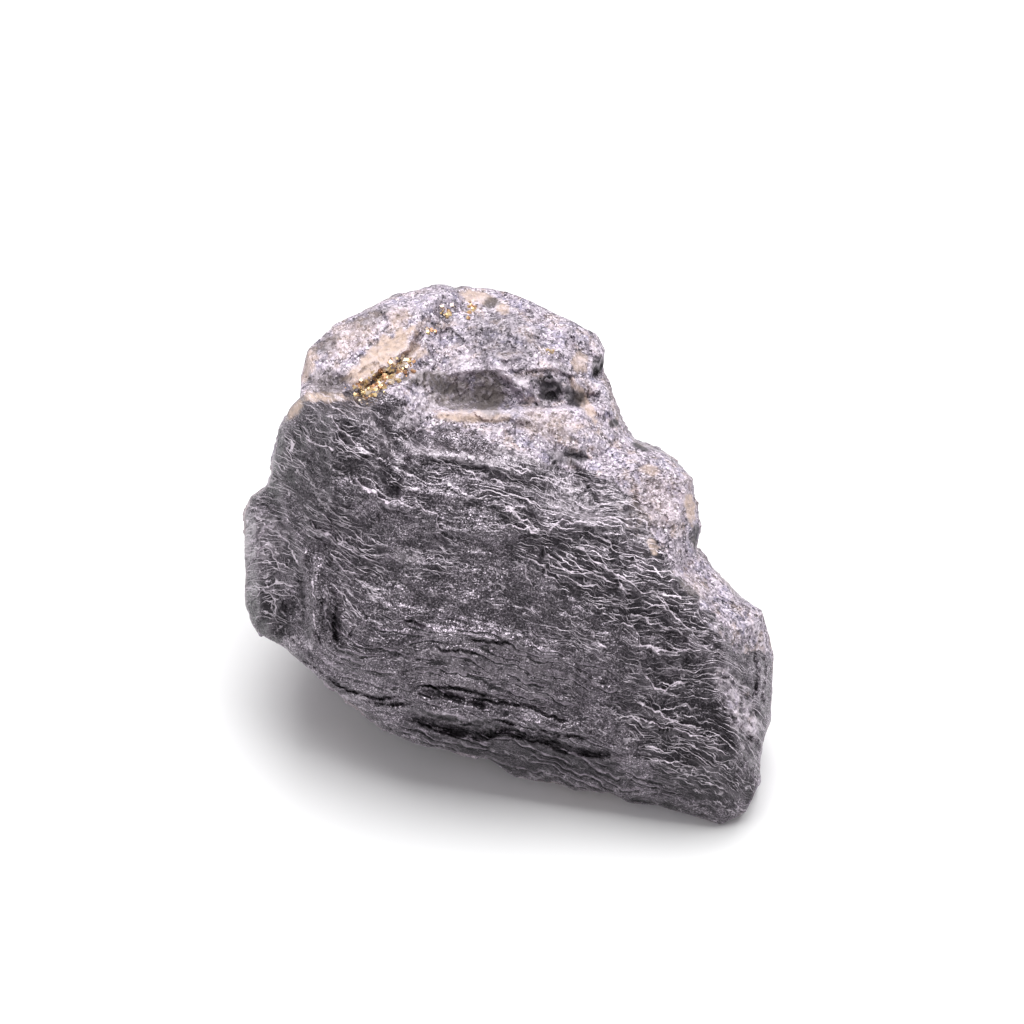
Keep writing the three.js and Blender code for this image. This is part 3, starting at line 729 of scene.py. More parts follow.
# Dark grooves: half width, depth, and the path.
CRACKS = [
    (0.34, 0.6, ((-15.4, -9.5), (-13.4, -9.9), (-11.8, -10.9))),
    (0.34, 0.6, ((-10.5, -13.6), (-9.1, -14.2), (-6.1, -14.3), (-2.7, -15.3))),
    (0.34, 0.6, ((-5.3, -12.3), (-1, -13.1), (2, -13.2))),
    (0.34, 0.6, ((-14.3, -20), (-9.1, -20.3), (-5.8, -20.5), (1.6, -22.7))),
    (0.34, 0.6, ((-6.4, -21.6), (-2, -22.4), (4.6, -23.3), (9.3, -25.4), (11.8, -25.8))),
    (0.34, 0.6, ((-33.1, -14.7), (-29.4, -17.4), (-24.5, -20.8), (-18.7, -22.2), (-15.2, -21.1))),
    (0.34, 0.6, ((7.2, 35.4), (8.6, 35.9), (9.2, 33.6), (9.8, 32.0))),
    (0.9, 1.1, ((-13, -21.3), (-8.5, -21.6), (-4.2, -22.9), (-1.2, -23.6))),
    (1.2, 1.5, (
        (-17.6, -24.2), (-13, -25.4), (-8.6, -27), (-2.9, -28), (0.9, -27.1), (7.2, -28.9), (12, -30.4),
        (17.4, -31), (24.6, -32),
    )),
    (0.4, 0.7, ((-9.6, -25.4), (-4.6, -26), (-0.4, -25.4), (3.8, -26.4))),
    (0.4, 0.7, ((5.2, -26.9), (10.4, -28), (14.8, -28.3))),
    (0.5, 0.8, ((-22.4, -22.6), (-17.6, -23), (-13.8, -22.9))),
    (0.4, 0.7, ((40.6, -13.2), (41.1, -17.6), (40.6, -22.4))),
    (0.3, 0.5, ((42.3, -14.4), (42.4, -19), (41.8, -24))),
    (0.4, 0.6, ((35.6, -21.4), (37.2, -22.8), (36.6, -24.6), (38.4, -26.6))),
    (0.45, 0.6, ((34.4, -18.4), (36.2, -19.0), (37.8, -20.4))),
    (0.45, 0.6, ((37.4, -20.2), (38.6, -21.6), (40.2, -22.0))),
    (0.45, 0.6, ((38.0, -25.0), (39.4, -25.4), (40.6, -27.2))),
    (0.45, 0.6, ((39.2, -28.2), (40.6, -28.8), (41.4, -30.2))),
    (0.35, 0.5, ((-26, -13.8), (-26.4, -9.6), (-26, -6.2))),
    (0.3, 0.5, ((-28.1, -12), (-28.5, -8.4), (-28.2, -5))),
    (0.5, 0.9, ((26.4, 7.6), (28.2, 5.8), (30.4, 4.0), (32.8, 1.6))),
    (0.4, 0.7, ((30.8, 5.4), (31.8, 4.4), (31.9, 2.6))),
    (0.4, 0.7, ((17.6, 24.6), (19.2, 22.2), (20.4, 20.6))),
]


# --- Stains and grains ---


class Trait(Enum):
    """What sets a place on the skin apart: a stain's colour, with painted shade and light among the dark
    and white places, or how the metal is torn.
    """

    TAN = 0
    BROWN = 1
    DARK_PATCH_AND_PAINTED_SHADE = 2
    WHITE_CRUST_AND_PAINTED_LIGHT = 3
    TORN = 4
    BEDDED = 5
    COARSE = 6


# The dark and white places are partly patches of the ore and partly painted shade and light.
STAINS_AND_PAINTED_LIGHT = (Trait.TAN, Trait.BROWN, Trait.DARK_PATCH_AND_PAINTED_SHADE, Trait.WHITE_CRUST_AND_PAINTED_LIGHT)


@dataclass(frozen=True)
class Place(Ellipse):
    """An ellipse that a trait covers, and how strong the trait is there."""

    strength: float = 1.0


# Each trait's places: u, v, both radii, the turn in degrees and the strength.
PLACES: dict[Trait, list[tuple[float, ...]]] = {
    Trait.TAN: [
        (-18.9, 32.5, 6.8, 2.1, 40), (-28.3, 26, 4.2, 0.8, 0, 0.9), (-33.2, 24.2, 2.2, 1.2, 48, 0.9),
        (-4, 22.9, 6.2, 0.9, -2), (-13.8, 33.3, 2, 1.2, 10, 0.8), (-16.3, 38.7, 2, 1.6, 60, 0.5),
        (-30.6, 31.8, 1.3, 2.8, -8, 0.7), (-3.7, 42.4, 2.6, 1, -10, 0.8),
        (0.5, 40.5, 1.2, 0.8, -30, 0.8), (12.9, 31.8, 1.4, 1.5, 0, 0.7),
        (13.6, 25.2, 4, 0.9, -61, 0.8), (26, 9.6, 6, 4, 30, 0.2), (30.5, 8.2, 0.9, 2.6, 12, 0.9),
        (24.3, 2.3, 0.7, 1.3, 32, 0.8), (31, -4, 3, 1.6, -40, 0.15), (-24, 36, 5, 2.4, 32, 0.35),
        (8, 21.8, 6, 2.4, -8, 0.3), (24, 14.4, 1.6, 1, 0, 0.6),
    ],
    Trait.BROWN: [
        (-10.9, 28.8, 4.2, 1.6, -8), (-6.8, 26.2, 4.2, 2.4, -10, 0.9), (-1.9, 26.4, 3, 3.3, 0, 1),
        (-27.5, 28.5, 3.1, 2.1, 4, 0.7), (-1.4, 41.6, 1.2, 0.9), (7, 25, 1.4, 0.5, 10, 0.5),
    ],
    # Painted shade: the dark places low on the right, round the tip, along the foot under the lower lip and
    # on the left lobe's lower part stand for faces turned down from the lamp; the others darken the skin
    # where they lie.
    Trait.DARK_PATCH_AND_PAINTED_SHADE: [
        (7.8, 27.5, 2.5, 2, 0, 0.9), (11.8, 26.1, 2.1, 1.4, -50, 0.8), (15.9, 31.4, 1, 1.4, -30),
        (10.4, 16.4, 3.6, 1.2, -3, 0.7), (-28, 34.6, 2.2, 1.6, 30, 0.5), (-0.5, 35, 7.5, 4.4, -4, 0.4),
        (31.4, 3.8, 0.9, 1.8, 0, 0.8), (18.4, 21.9, 0.7, 0.9, 50, 0.9),
        (22.5, 18.1, 1.7, 0.6, -25, 0.9), (-21, 39, 3, 1.2, 24, 0.4), (33.5, -22.5, 5.2, 2, -55, 0.7),
        (24, -40, 9, 1.6, -8, 0.9), (3, -31, 17, 3.4, -11, 0.8), (-37.6, -9.6, 4.2, 4.6, 0, 0.8),
        (-9.8, 27.8, 3.8, 1, -8, 0.7), (-1.6, 26, 1.9, 2.3, 0, 0.5), (29, -24, 11, 8, -25, 0.6),
        (-34.6, 15.6, 2.4, 6.5, -26, 0.6), (18, -4, 14, 5, -31, 0.5), (-27, 14, 6, 10, -10, 0.5),
        (31, -31, 9, 5, -22, 0.85), (4.5, 21.6, 8, 2.2, -6, 0.15), (-22, 0.5, 3.2, 1.6, -34, 0.5),
        (-14, 0, 5, 3, -20, 0.2), (3.2, 5.8, 4, 1.6, -20, 0.6), (-21, 16, 6, 3.6, -40, 0.35),
        (33, -35.5, 8, 4.4, -10, 0.85),
    ],
    # Painted light: the white places on the right rim strip, on the top of the left lobe and on the facet
    # above the brown hollow stand for faces turned up to the lamp; the others are paler skin where they
    # lie.
    Trait.WHITE_CRUST_AND_PAINTED_LIGHT: [
        (-14.5, 0.8, 2.6, 1.3, -10, 0.5), (-12.2, 25.6, 2.2, 2.7), (-5.8, 31.8, 2.6, 2.3, 0, 0.8),
        (1.8, 29.8, 4, 1.1, -30, 0.9), (-1.1, 20.6, 1.6, 0.9, 0, 0.8),
        (-15.5, 22.6, 2.6, 1.4, -20, 0.6), (3.6, 16.6, 5, 1, -12, 0.45), (22, 4, 3, 1.8, -30, 0.25),
        (37.8, -23.4, 6.4, 2.3, -62, 0.9), (-37.6, 3.6, 3.4, 3.6, 0, 0.3), (-2, -17, 13, 5, -8, 0.15),
        (16, 8.4, 9, 3.6, -20, 0.34), (-5.5, 16.3, 10, 0.9, -10, 0.5), (-19, 18.8, 1.5, 5.2, 33, 0.45),
    ],
    Trait.TORN: [
        (38.6, -25, 8, 3, -64, 0.8), (6, -20, 5, 3, -20, 0.4), (-10, 1, 4, 3, -30, 0.5),
        (12, -14, 6, 4, -40, 0.5), (18, -1, 17, 7, -31), (8, 10.5, 20, 4.5, -12, 0.9),
        (31, -31, 9, 5, -22, 0.9), (-24, 3, 8, 4.2, -36, 0.9), (-17.5, 16.5, 5, 9, 20, 0.55),
        (-34, 15, 2.8, 7.5, -26, 0.8), (-37, 0, 5, 9, 0, 0.8), (26, -17, 8, 5, -24, 0.6),
        (28, -27, 10, 4, -22, 0.8), (-24, -9, 3, 7, 8, 0.5), (-24, 21, 8.5, 4, -36, 0.7),
        (32, -14, 9, 4, -42, 0.8),
    ],
    Trait.BEDDED: [
        (-4, -17, 24, 7, -9), (6, -31, 22, 5, -14), (-21, -15, 8, 4, -24, 0.7),
    ],
    Trait.COARSE: [
        (38.2, -23.2, 6.6, 2.3, -62, 0.5), (2, 18.6, 6, 1.4, -14, 0.5),
        (-12.5, 22.6, 3.6, 2, -30, 0.6), (36.8, -12, 4, 2, -40, 0.5),
    ],
}


# A trait ends at this share of its ellipse, fades over the next one's width before it, and is
# frayed by noise of this height and of this width in mm.
TRAIT_END = 1.2
TRAIT_FADE = 0.4
TRAIT_FRAY = 0.42
TRAIT_FRAY_WIDTH = 1.4


def trait_at(u: Array, v: Array, trait: Trait) -> Array:
    """How strongly a trait covers each point, its edges frayed by noise.

    Args:
        u, v: Places in mm, shape (n,) each.
        trait: Which of the traits.

    Returns:
        From 0 to 1, shape (n,).
    """
    x, y = u / TRAIT_FRAY_WIDTH, v / TRAIT_FRAY_WIDTH
    fray = TRAIT_FRAY * fractal_noise(x, y, SEED + 61 + trait.value)
    covered = np.zeros(u.shape)
    for place in (Place(*row) for row in PLACES[trait]):
        within = smoothstep((TRAIT_END - place.share(u, v) - fray) / TRAIT_FADE)
        covered = np.maximum(covered, place.strength * within)
    return covered


# --- The skin's two sides ---


def disc_grid(count: int) -> tuple[Array, Array]:
    """A square grid laid onto the unit disc in rings, without bunching.

    The ring is the greater of the two grid coordinates' sizes; the angle goes round each square
    ring at an even pace, an eighth of a turn from the middle of a side to its corner.

    Args:
        count: Vertices along each side of the grid, an odd number.

    Returns:
        Ring from 0 to 1 and angle, shape (count * count,) each, row by row.
    """
    line = np.linspace(-1.0, 1.0, count)
    a, b = (g.ravel() for g in np.meshgrid(line, line))
    wide = np.abs(a) >= np.abs(b)
    ring = np.maximum(np.abs(a), np.abs(b))
    lower = np.where(wide, a, b)
    part = np.where(wide, b, a) / np.where(lower == 0, 1, lower)
    angle = np.where(wide, math.pi / 4 * part, math.pi / 2 - math.pi / 4 * part)
    return ring, np.where(lower < 0, angle + math.pi, angle)


def grid_border(count: int) -> Array:
    """The grid's border vertices in order, anticlockwise from its lower right corner.

    Args:
        count: Vertices along each side of the grid.

    Returns:
        Indices, shape (4 * (count - 1),).
    """
    last = count - 1
    k = np.arange(last)
    right, top = k * count + last, last * count + last - k
    left, bottom = (last - k) * count, k
    return np.concatenate([right, top, left, bottom])


def grid_triangles(count: int, height: Array) -> Array:
    """Splits every square of a grid along the diagonal with the smaller difference in height.

    Args:
        count: Vertices along each side of the grid.
        height: Height of each vertex, shape (count * count,).

    Returns:
        Corner indices, anticlockwise seen from above, shape (2 * (count - 1)**2, 3).
    """
    index = np.arange(count * count).reshape(count, count)
    a, b = index[:-1, :-1].ravel(), index[:-1, 1:].ravel()
    c, d = index[1:, 1:].ravel(), index[1:, :-1].ravel()
    along_ac = (np.abs(height[a] - height[c]) <= np.abs(height[b] - height[d]))[:, None]
    first = np.where(along_ac, np.stack([a, b, c], -1), np.stack([a, b, d], -1))
    second = np.where(along_ac, np.stack([a, c, d], -1), np.stack([b, c, d], -1))
    return np.concatenate([first, second])


def strip_triangles(upper: Array, lower: Array) -> Array:
    """Joins two closed rings of vertices, of which the lower one has fewer.

    Each side of the upper ring meets the lower vertex that lies level with its middle, and
    wherever that vertex moves on, one side of the lower ring is closed as well.

    Args:
        upper: Indices of the upper ring, anticlockwise, shape (n,).
        lower: Indices of the lower ring, starting at the same angle, shape (m,), m < n.

    Returns:
        Corner indices of outward triangles, shape (n + m, 3).
    """
    n, m = len(upper), len(lower)
    k = np.arange(n)
    level = np.floor((k + 0.5) * m / n + 0.5).astype(int)
    sides = np.stack([upper, lower[level % m], upper[(k + 1) % n]], axis=-1)
    before = np.roll(level, 1)
    before[0] -= m
    moved = level > before
    closes = np.stack([upper[moved], lower[before[moved] % m], lower[level[moved] % m]], axis=-1)
    return np.concatenate([sides, closes])


def vertex_normals(points: Array, triangles: Array) -> tuple[Array, Array]:
    """Normals of the vertices and how flat the surface is around each.

    A vertex's normal is the sum of the cross products of its triangles, and its flatness is
    the length of that sum over the sum of their lengths.

    Args:
        points: Shape (n, 3).
        triangles: Corner indices, shape (m, 3).

    Returns:
        Unit normals, shape (n, 3), and flatness from 0 to 1, shape (n,).
    """
    a, b, c = (points[triangles[:, k]] for k in range(3))
    face = np.cross(b - a, c - a)
    area = np.linalg.norm(face, axis=1)
    whole = sum(np.bincount(triangles[:, k], area, len(points)) for k in range(3))
    total = np.zeros_like(points)
    for k in range(3):
        for axis in range(3):
            total[:, axis] += np.bincount(triangles[:, k], face[:, axis], len(points))
    length = np.linalg.norm(total, axis=1)
    return total / np.maximum(length, 1e-12)[:, None], length / np.maximum(whole, 1e-12)


# The breakage's lattice axes, turned so that its facets don't line up with the face.
BREAKAGE_AXES = ((0.8, 0.52, 0.3), (-0.42, 0.86, -0.28), (0, -0.4, 0.91))


def breakage(points: Array, layers: Layers) -> Array:
    """Flat-faceted relief: facet noise on a turned lattice, added up over the layers.

    Args:
        points: In the face frame, shape (n, 3).
        layers: Each layer's width and height in mm.

    Returns:
        Heights in mm, shape (n,).
    """
    u, v, w = points.T
    turned = np.stack([a * u + b * v + c * w for a, b, c in BREAKAGE_AXES], axis=-1)
    return sum(h * facet_noise(turned / width, SEED + n) for n, (width, h) in enumerate(layers))


def turn_matrix(degrees: Triple) -> Array:
    """The product of turns about the first, second and third axis, in that order.

    Args:
        degrees: The three turns.

    Returns:
        Shape (3, 3).
    """
    turns = [math.radians(d) for d in degrees]
    (ca, sa), (cb, sb), (cc, sc) = ((math.cos(turn), math.sin(turn)) for turn in turns)
    about_u = np.array([[1, 0, 0], [0, ca, -sa], [0, sa, ca]])
    about_v = np.array([[cb, 0, sb], [0, 1, 0], [-sb, 0, cb]])
    about_w = np.array([[cc, -sc, 0], [sc, cc, 0], [0, 0, 1]])
    return about_u @ about_v @ about_w


# How far the outline is nicked and how wide its nicks are, in mm.
NICK_DEPTH = 0.16
NICK_WIDTH = 2.6


def rim_radius(angle: Array) -> Array:
    """The outline's radius, nicked a little by noise of the point where the outline is crossed.

    Args:
        angle: In radians, of any shape.

    Returns:
        Radii in mm, of the same shape.
    """
    radius = outline_radius(angle)
    u, v = radius * np.cos(angle), radius * np.sin(angle)
    return radius + NICK_DEPTH * fractal_noise(u / NICK_WIDTH, v / NICK_WIDTH, SEED + 71)


@dataclass
class FaceSide:
    """The side that is seen square to the shear face, as a depth over the disc grid.

    Sizes are in mm, and bands in shares of the outline's radius.

    Attributes:
        warp: How far ledges and bosses are moved about by noise of the next value's width.
        far: Distance given to points that are far from every torn edge.
        untorn_share: How strongly the lamellae stand where the face is least torn.
        grit: Width and height of the grains in white places.
    """

    grid: int = 255
    rim_rounding: float = 1.4
    rim_band: float = 0.06
    seam_band: float = 0.014
    riser: float = 1.5
    torn_riser: float = 0.4
    edge_fray: float = 0.8
    edge_fray_width: float = 3.0
    warp: float = 0.7
    warp_width: float = 3.6
    torn_warp: float = 0.7
    torn_warp_width: float = 2.4
    crack_warp: float = 0.3
    crack_warp_width: float = 1.5
    ledge_share: float = 0.85
    unevenness: float = 0.5
    unevenness_width: float = 4.5
    far: float = 9.0
    untorn_share: float = 0.3
    lamella_share: float = 0.6
    rumple: float = 0.3
    rumple_length: float = 7.0
    rumple_width: float = 3.2
    broken_grains: Layers = ((3.0, 0.36), (1.1, 0.17))
    grit: Pair = (0.9, 0.4)
    sheared_graininess: float = 0.25
    sheared_breakage: Layers = ((9, 0.6), (4.5, 0.25))
    coarse_breakage: Layers = ((8, 0.9), (4.5, 0.35))
    flow: Flow = field(default_factory=Flow)

    def coarse(self, u: Array, v: Array) -> Array:
        """How coarsely the skin is broken: 0 on the shear face and 1 behind its upper edge.

        Between them it is the distance past the edge, frayed by noise, over the edge's width.

        Args:
            u, v: Places in mm, shape (n,) each.

        Returns:
            From 0 to 1, shape (n,).
        """
        signed, _ = along_path(u, v, FACE_EDGE)
        x, y = u / self.edge_fray_width, v / self.edge_fray_width
        fray = self.edge_fray * fractal_noise(x, y, SEED + 72)
        return smoothstep((signed + fray) / FACE_EDGE_WIDTH)

    def main_form(self, u: Array, v: Array, share: Array) -> Array:
        """The blocks with their large facets, ledges, hollows and fissure.

        Args:
            u, v: Places in mm, shape (n,) each.
            share: Share of the outline's radius, shape (n,).

        Returns:
            Depth w in mm, shape (n,).
        """
        inside = 1 - np.clip((share - (1 - self.rim_band)) / self.rim_band, 0, 1)
        main = block_depth(u, v)
        points = np.stack([u, v, main], axis=-1)
        sheared = breakage(points, self.sheared_breakage)
        coarse = breakage(points, self.coarse_breakage)
        depth = main + (sheared + (coarse - sheared) * self.coarse(u, v)) * inside
        wu, wv = warped(u, v, self.warp, self.warp_width, SEED + 73)
        x, y = u / self.unevenness_width, v / self.unevenness_width
        uneven = self.ledge_share + self.unevenness * smooth_noise(x, y, SEED + 78)
        depth += uneven * sum(ledge_rise(wu, wv, ledge, self.riser) for ledge in LEDGES.values())
        depth += sum(boss_rise(wu, wv, boss) for boss in BOSSES.values())
        depth -= groove_depth(wu, wv, PYRITE_FISSURE, FISSURE_WIDTH, FISSURE_DEPTH)
        return depth - self.rim_rounding * (1 - inside) ** 2

    def torn_edges(self, u: Array, v: Array) -> tuple[Array, Array, Array]:
        """The thin torn edges' rise, and where the nearest one runs.

        Args:
            u, v: Places in mm, shape (n,) each.

        Returns:
            Height in mm, distance from the nearest edge, positive on its proud side,
            and that edge's strength, which dies out at its ends; shape (n,) each.
        """
        wu, wv = warped(u, v, self.torn_warp, self.torn_warp_width, SEED + 76)
        rise = np.zeros(u.shape)
        nearest = np.full(u.shape, self.far)
        strength = np.zeros(u.shape)
        for height, reach, path in TORN_EDGES:
            signed, along = along_path(wu, wv, path)
            ends = dying_out(along, LEDGE_ENDS)
            fall = 1 - smoothstep(signed / reach)
            rise += height * ends * smoothstep(signed / self.torn_riser) * fall
            closer = np.abs(signed) < np.abs(nearest)
            nearest = np.where(closer, signed, nearest)
            strength = np.where(closer, ends, strength)
        return rise, nearest, strength

    def torn_relief(self, u: Array, v: Array) -> Array:
        """The shear face's own relief: lamellae, torn edges, cracks and a low rumple.

        Args:
            u, v: Places in mm, shape (n,) each.

        Returns:
            Heights in mm, shape (n,).
        """
        psi, phi = self.flow.at(u, v)
        torn = self.untorn_share + (1 - self.untorn_share) * trait_at(u, v, Trait.TORN)
        relief = self.rumple * fractal_noise(psi / self.rumple_length, phi / self.rumple_width, SEED + 75)
        lamellae = sum(layer.relief(*layer.order(psi, phi)) for layer in MESHED_LAMELLAE)
        relief += self.lamella_share * torn * lamellae
        relief += self.torn_edges(u, v)[0]
        wu, wv = warped(u, v, self.crack_warp, self.crack_warp_width, SEED + 79)
        for width, depth, path in CRACKS:
            relief -= groove_depth(wu, wv, path, width, depth)
        return relief

    def grainy_relief(self, points: Array) -> Array:
        """The coarse parts' own relief: broken grains of two sizes, shape (n,)."""
        sizes = enumerate(self.broken_grains)
        return sum(grain_relief(points, width, height, SEED + 81 + n) for n, (width, height) in sizes)

    def depth(self, u: Array, v: Array, share: Array) -> Array:
        """The whole face side's depth w: the main form and, inside the seam, the fine relief.

        Args:
            u, v: Places in mm, shape (n,) each.
            share: Share of the outline's radius, shape (n,).

        Returns:
            In mm, shape (n,).
        """
        inside = smoothstep((1 - share) / self.seam_band)
        coarse = self.coarse(u, v)
        white = trait_at(u, v, Trait.WHITE_CRUST_AND_PAINTED_LIGHT)
        form = self.main_form(u, v, share)
        points = np.stack([u, v, form], axis=-1)
        torn = self.torn_relief(u, v)
        grainy = self.grainy_relief(points)
        grit = grain_relief(points, *self.grit, SEED + 83)
        graininess = self.sheared_graininess + (1 - self.sheared_graininess) * coarse
        return form + inside * (torn * (1 - coarse) + grainy * graininess + grit * white)

    def points(self) -> tuple[Array, Array]:
        """Works out the grid's points.

        Returns:
            The points in the face frame, shape (grid * grid, 3), and each one's share of the
            outline's radius, shape (grid * grid,).
        """
        share, angle = disc_grid(self.grid)
        radius = share * rim_radius(angle)
        u, v = radius * np.cos(angle), radius * np.sin(angle)
        return np.stack([u, v, self.depth(u, v, share)], axis=-1), share

    def crest(self, depth: Array, reach: int = 2, full: float = 0.25) -> Array:
        """How far each point stands over its neighbourhood: -1 in a groove, 1 on an edge.

        The depth less its mean over a square of the grid, over the height that counts as full.

        Args:
            depth: Depth w of the grid's points, shape (n,).
            reach: Half the square's side, in grid steps.
            full: Height in mm that counts as 1.

        Returns:
            Shape (n,).
        """
        field_2d = depth.reshape(self.grid, self.grid)
        for axis in (0, 1):
            width = [(reach + 1, reach) if axis == k else (0, 0) for k in (0, 1)]
            total = np.cumsum(np.pad(field_2d, width, mode="edge"), axis=axis)
            span = 2 * reach + 1
            field_2d = (np.take(total, range(span, total.shape[axis]), axis)
                        - np.take(total, range(total.shape[axis] - span), axis)) / span
        return np.clip((depth - field_2d.ravel()) / full, -1, 1)


@dataclass
class HiddenSide:
    """The side behind the outline: a deep squared dome cut by breaks, cleaved steps and the bed.

    Sizes are in mm, and bands and starts in shares of the outline's radius.

    Attributes:
        bite: Share of the relief under bite_level that is kept up to the rim.
        collar: The first ring's drop under the outline, as a share of the dome's depth.
        wall_start: The drop at which the close steps up the dome's wall begin.
        little_steps: Each set's size along its own axes, and its height.
    """

    grid: int = 183
    dome_depth: float = 62.0
    squareness: float = 9.0
    start: float = 0.985
    middle_depth: float = 10.0
    bite: float = 0.6
    bite_level: float = 1.5
    flank_band: float = 0.2
    evening_band: float = 0.1
    evening_step_deg: float = 9.0
    breakage_layers: Layers = ((12, 2.4), (6, 1.0))
    collar: float = 0.02
    wall_start: float = 0.97
    least_step: float = 0.02
    little_steps: tuple[tuple[Triple, float], ...] = (
        ((4.1, 3.2, 3.7), 0.75), ((1.9, 2.3, 2.1), 0.35),
    )
    broken_grains: Layers = ((4.2, 0.9), (2.0, 0.4))
    cleaved_width: float = 13.0
    cleaved_contrast: float = 1.4
    cleaved_smoothing: float = 0.6
    relief_sink: float = 0.2
    frame: FaceFrame = field(default_factory=FaceFrame)

    def radius(self, angle: Array, share: Array) -> Array:
        """The outline's radius, evened out over its neighbourhood away from the outline.

        The even radius is the mean of the outline's radii at seven neighbouring bearings.

        Args:
            angle: Shape (n,).
            share: Share of the outline's radius, shape (n,).

        Returns:
            In mm, shape (n,).
        """
        own = rim_radius(angle)
        step = math.radians(self.evening_step_deg)
        turns = range(-3, 4)
        even = sum(outline_radius(angle + k * step) for k in turns) / len(turns)
        return own + (np.minimum(own, even) - own) * smoothstep((self.start - share) / self.evening_band)

    def surface(self, angle: Array, share: Array, rim_depth: Array) -> Array:
        """The hidden side's points without their fine relief.

        The dome drops from the rim by the square root of 1 less share to the squareness. The
        broken surface moves it out from the lump's middle. Then each point is raised to the
        highest break below it, out of the cleaved steps, and onto the bed.

        Args:
            angle: Shape (n,).
            share: Share of the outline's radius, shape (n,).
            rim_depth: Depth w of the outline at the angle, shape (n,).

        Returns:
            Points in the face frame, shape (n, 3).
        """
        drop = np.sqrt(1 - np.minimum(share, 1) ** self.squareness)
        radius = share * self.radius(angle, share)
        u, v = radius * np.cos(angle), radius * np.sin(angle)
        base = np.stack([u, v, rim_depth - (self.dome_depth + rim_depth) * drop], axis=-1)
        outward = base + np.array([0, 0, self.middle_depth])
        outward /= np.linalg.norm(outward, axis=1)[:, None]
        relief = breakage(base, self.breakage_layers)
        inside = smoothstep((self.start - share) / self.flank_band)
        bite = self.bite * np.minimum(relief - self.bite_level, 0) * drop
        u, v, w = (base + outward * (bite + (relief - bite) * inside)[:, None]).T
        for turn_deg, reach, depth, steepness in BREAKS:
            turn = math.radians(turn_deg)
            plane = depth + steepness * (u * math.cos(turn) + v * math.sin(turn) - reach)
            w = np.maximum(w, np.minimum(plane, rim_depth))
        for corner in CLEAVAGE_STEPS:
            w = self.cleave(u, v, w, np.array(corner, dtype=float))
        return np.stack([u, v, np.maximum(w, self.frame.bed(v))], axis=-1)

    def cleave(self, u: Array, v: Array, w: Array, corner: Array) -> Array:
        """Raises the points that lie inside one cleaved cube onto the cube's inner faces.

        Along w the cube takes up the span where all three of its own coordinates are on its
        side of the corner; a point within the span moves to its upper end.

        Args:
            u: Shape (n,).
            v: Shape (n,).
            w: Shape (n,).
            corner: The cube's inner corner in the face frame.

        Returns:
            The new w, shape (n,).
        """
        axes = turn_matrix(CLEAVAGE_TURNS_DEG).T
        start = np.stack([u, v, np.zeros_like(u)], axis=-1) - corner
        low, high = np.full(u.shape, -1e9), np.full(u.shape, 1e9)
        for axis, side in zip(axes, (math.copysign(1, corner[0]), 1.0, -1.0)):
            slope, level = side * axis[2], side * (start @ axis)
            bound = -level / slope
            low = np.where(slope > 0, np.maximum(low, bound), low)
            high = np.where(slope > 0, high, np.minimum(high, bound))
        return np.where((w > low) & (w < high), high, w)

    def even_share(self, ring: Array, angle: Array, depth_at: Callable[[Array], Array]) -> Array:
        """Shares at which the rings lie evenly along the finished surface.

        For a fan of angles the surface is followed from the middle to the rim in small steps.
        A ring's share is where that share of the whole length is reached, and between two
        angles of the fan it is blended.

        Args:
            ring: From 0 to 1, shape (n,).
            angle: Shape (n,).
            depth_at: Gives the outline's depth at any angles.

        Returns:
            Shape (n,).
        """
        fan, half, levels = 360, 160, 200
        end = (1 - self.collar**2) ** (1 / self.squareness)
        wall = (1 - np.linspace(self.wall_start, self.collar, half) ** 2) ** (1 / self.squareness)
        share = np.sort(np.concatenate([np.linspace(0, end, half, endpoint=False), wall]))
        steps = 2 * half
        turns = np.arange(fan) * 2 * math.pi / fan
        around = np.repeat(turns, steps)
        rim = np.repeat(depth_at(turns), steps)
        line = self.surface(around, np.tile(share, fan), rim).reshape(fan, steps, 3)
        length = np.linalg.norm(np.diff(line, axis=1), axis=2) + self.least_step
        reached = np.concatenate([np.zeros((fan, 1)), np.cumsum(length, axis=1)], axis=1)
        rings = np.linspace(0, 1, levels)
        table = np.stack([np.interp(rings, row / row[-1], share) for row in reached])
        place = np.mod(angle, 2 * math.pi) / (2 * math.pi) * fan
        first = np.floor(place).astype(int) % fan
        blend = place - np.floor(place)
        column = ring * (levels - 1)
        left = np.minimum(column.astype(int), levels - 2)
        part = column - left

        def row(k: Array) -> Array:
            """The share on one angle of the fan, blended between two rings."""
            return table[k, left] * (1 - part) + table[k, left + 1] * part

        return row(first) * (1 - blend) + row((first + 1) % fan) * blend

    def points(self, face: FaceSide) -> Array:
        """The grid's points in the face frame, starting a collar's width under the outline.

        Args:
            face: The face side, whose depth at the outline the hidden side starts from.

        Returns:
            Shape (grid * grid, 3).
        """
        ring, angle = disc_grid(self.grid)

        def depth_at(turns: Array) -> Array:
            """The face side's depth at the outline."""
            u, v = rim_radius(turns) * np.array([np.cos(turns), np.sin(turns)])
            return face.depth(u, v, np.ones_like(turns))

        share = self.even_share(ring, angle, depth_at)
        return self.surface(angle, share, depth_at(angle))

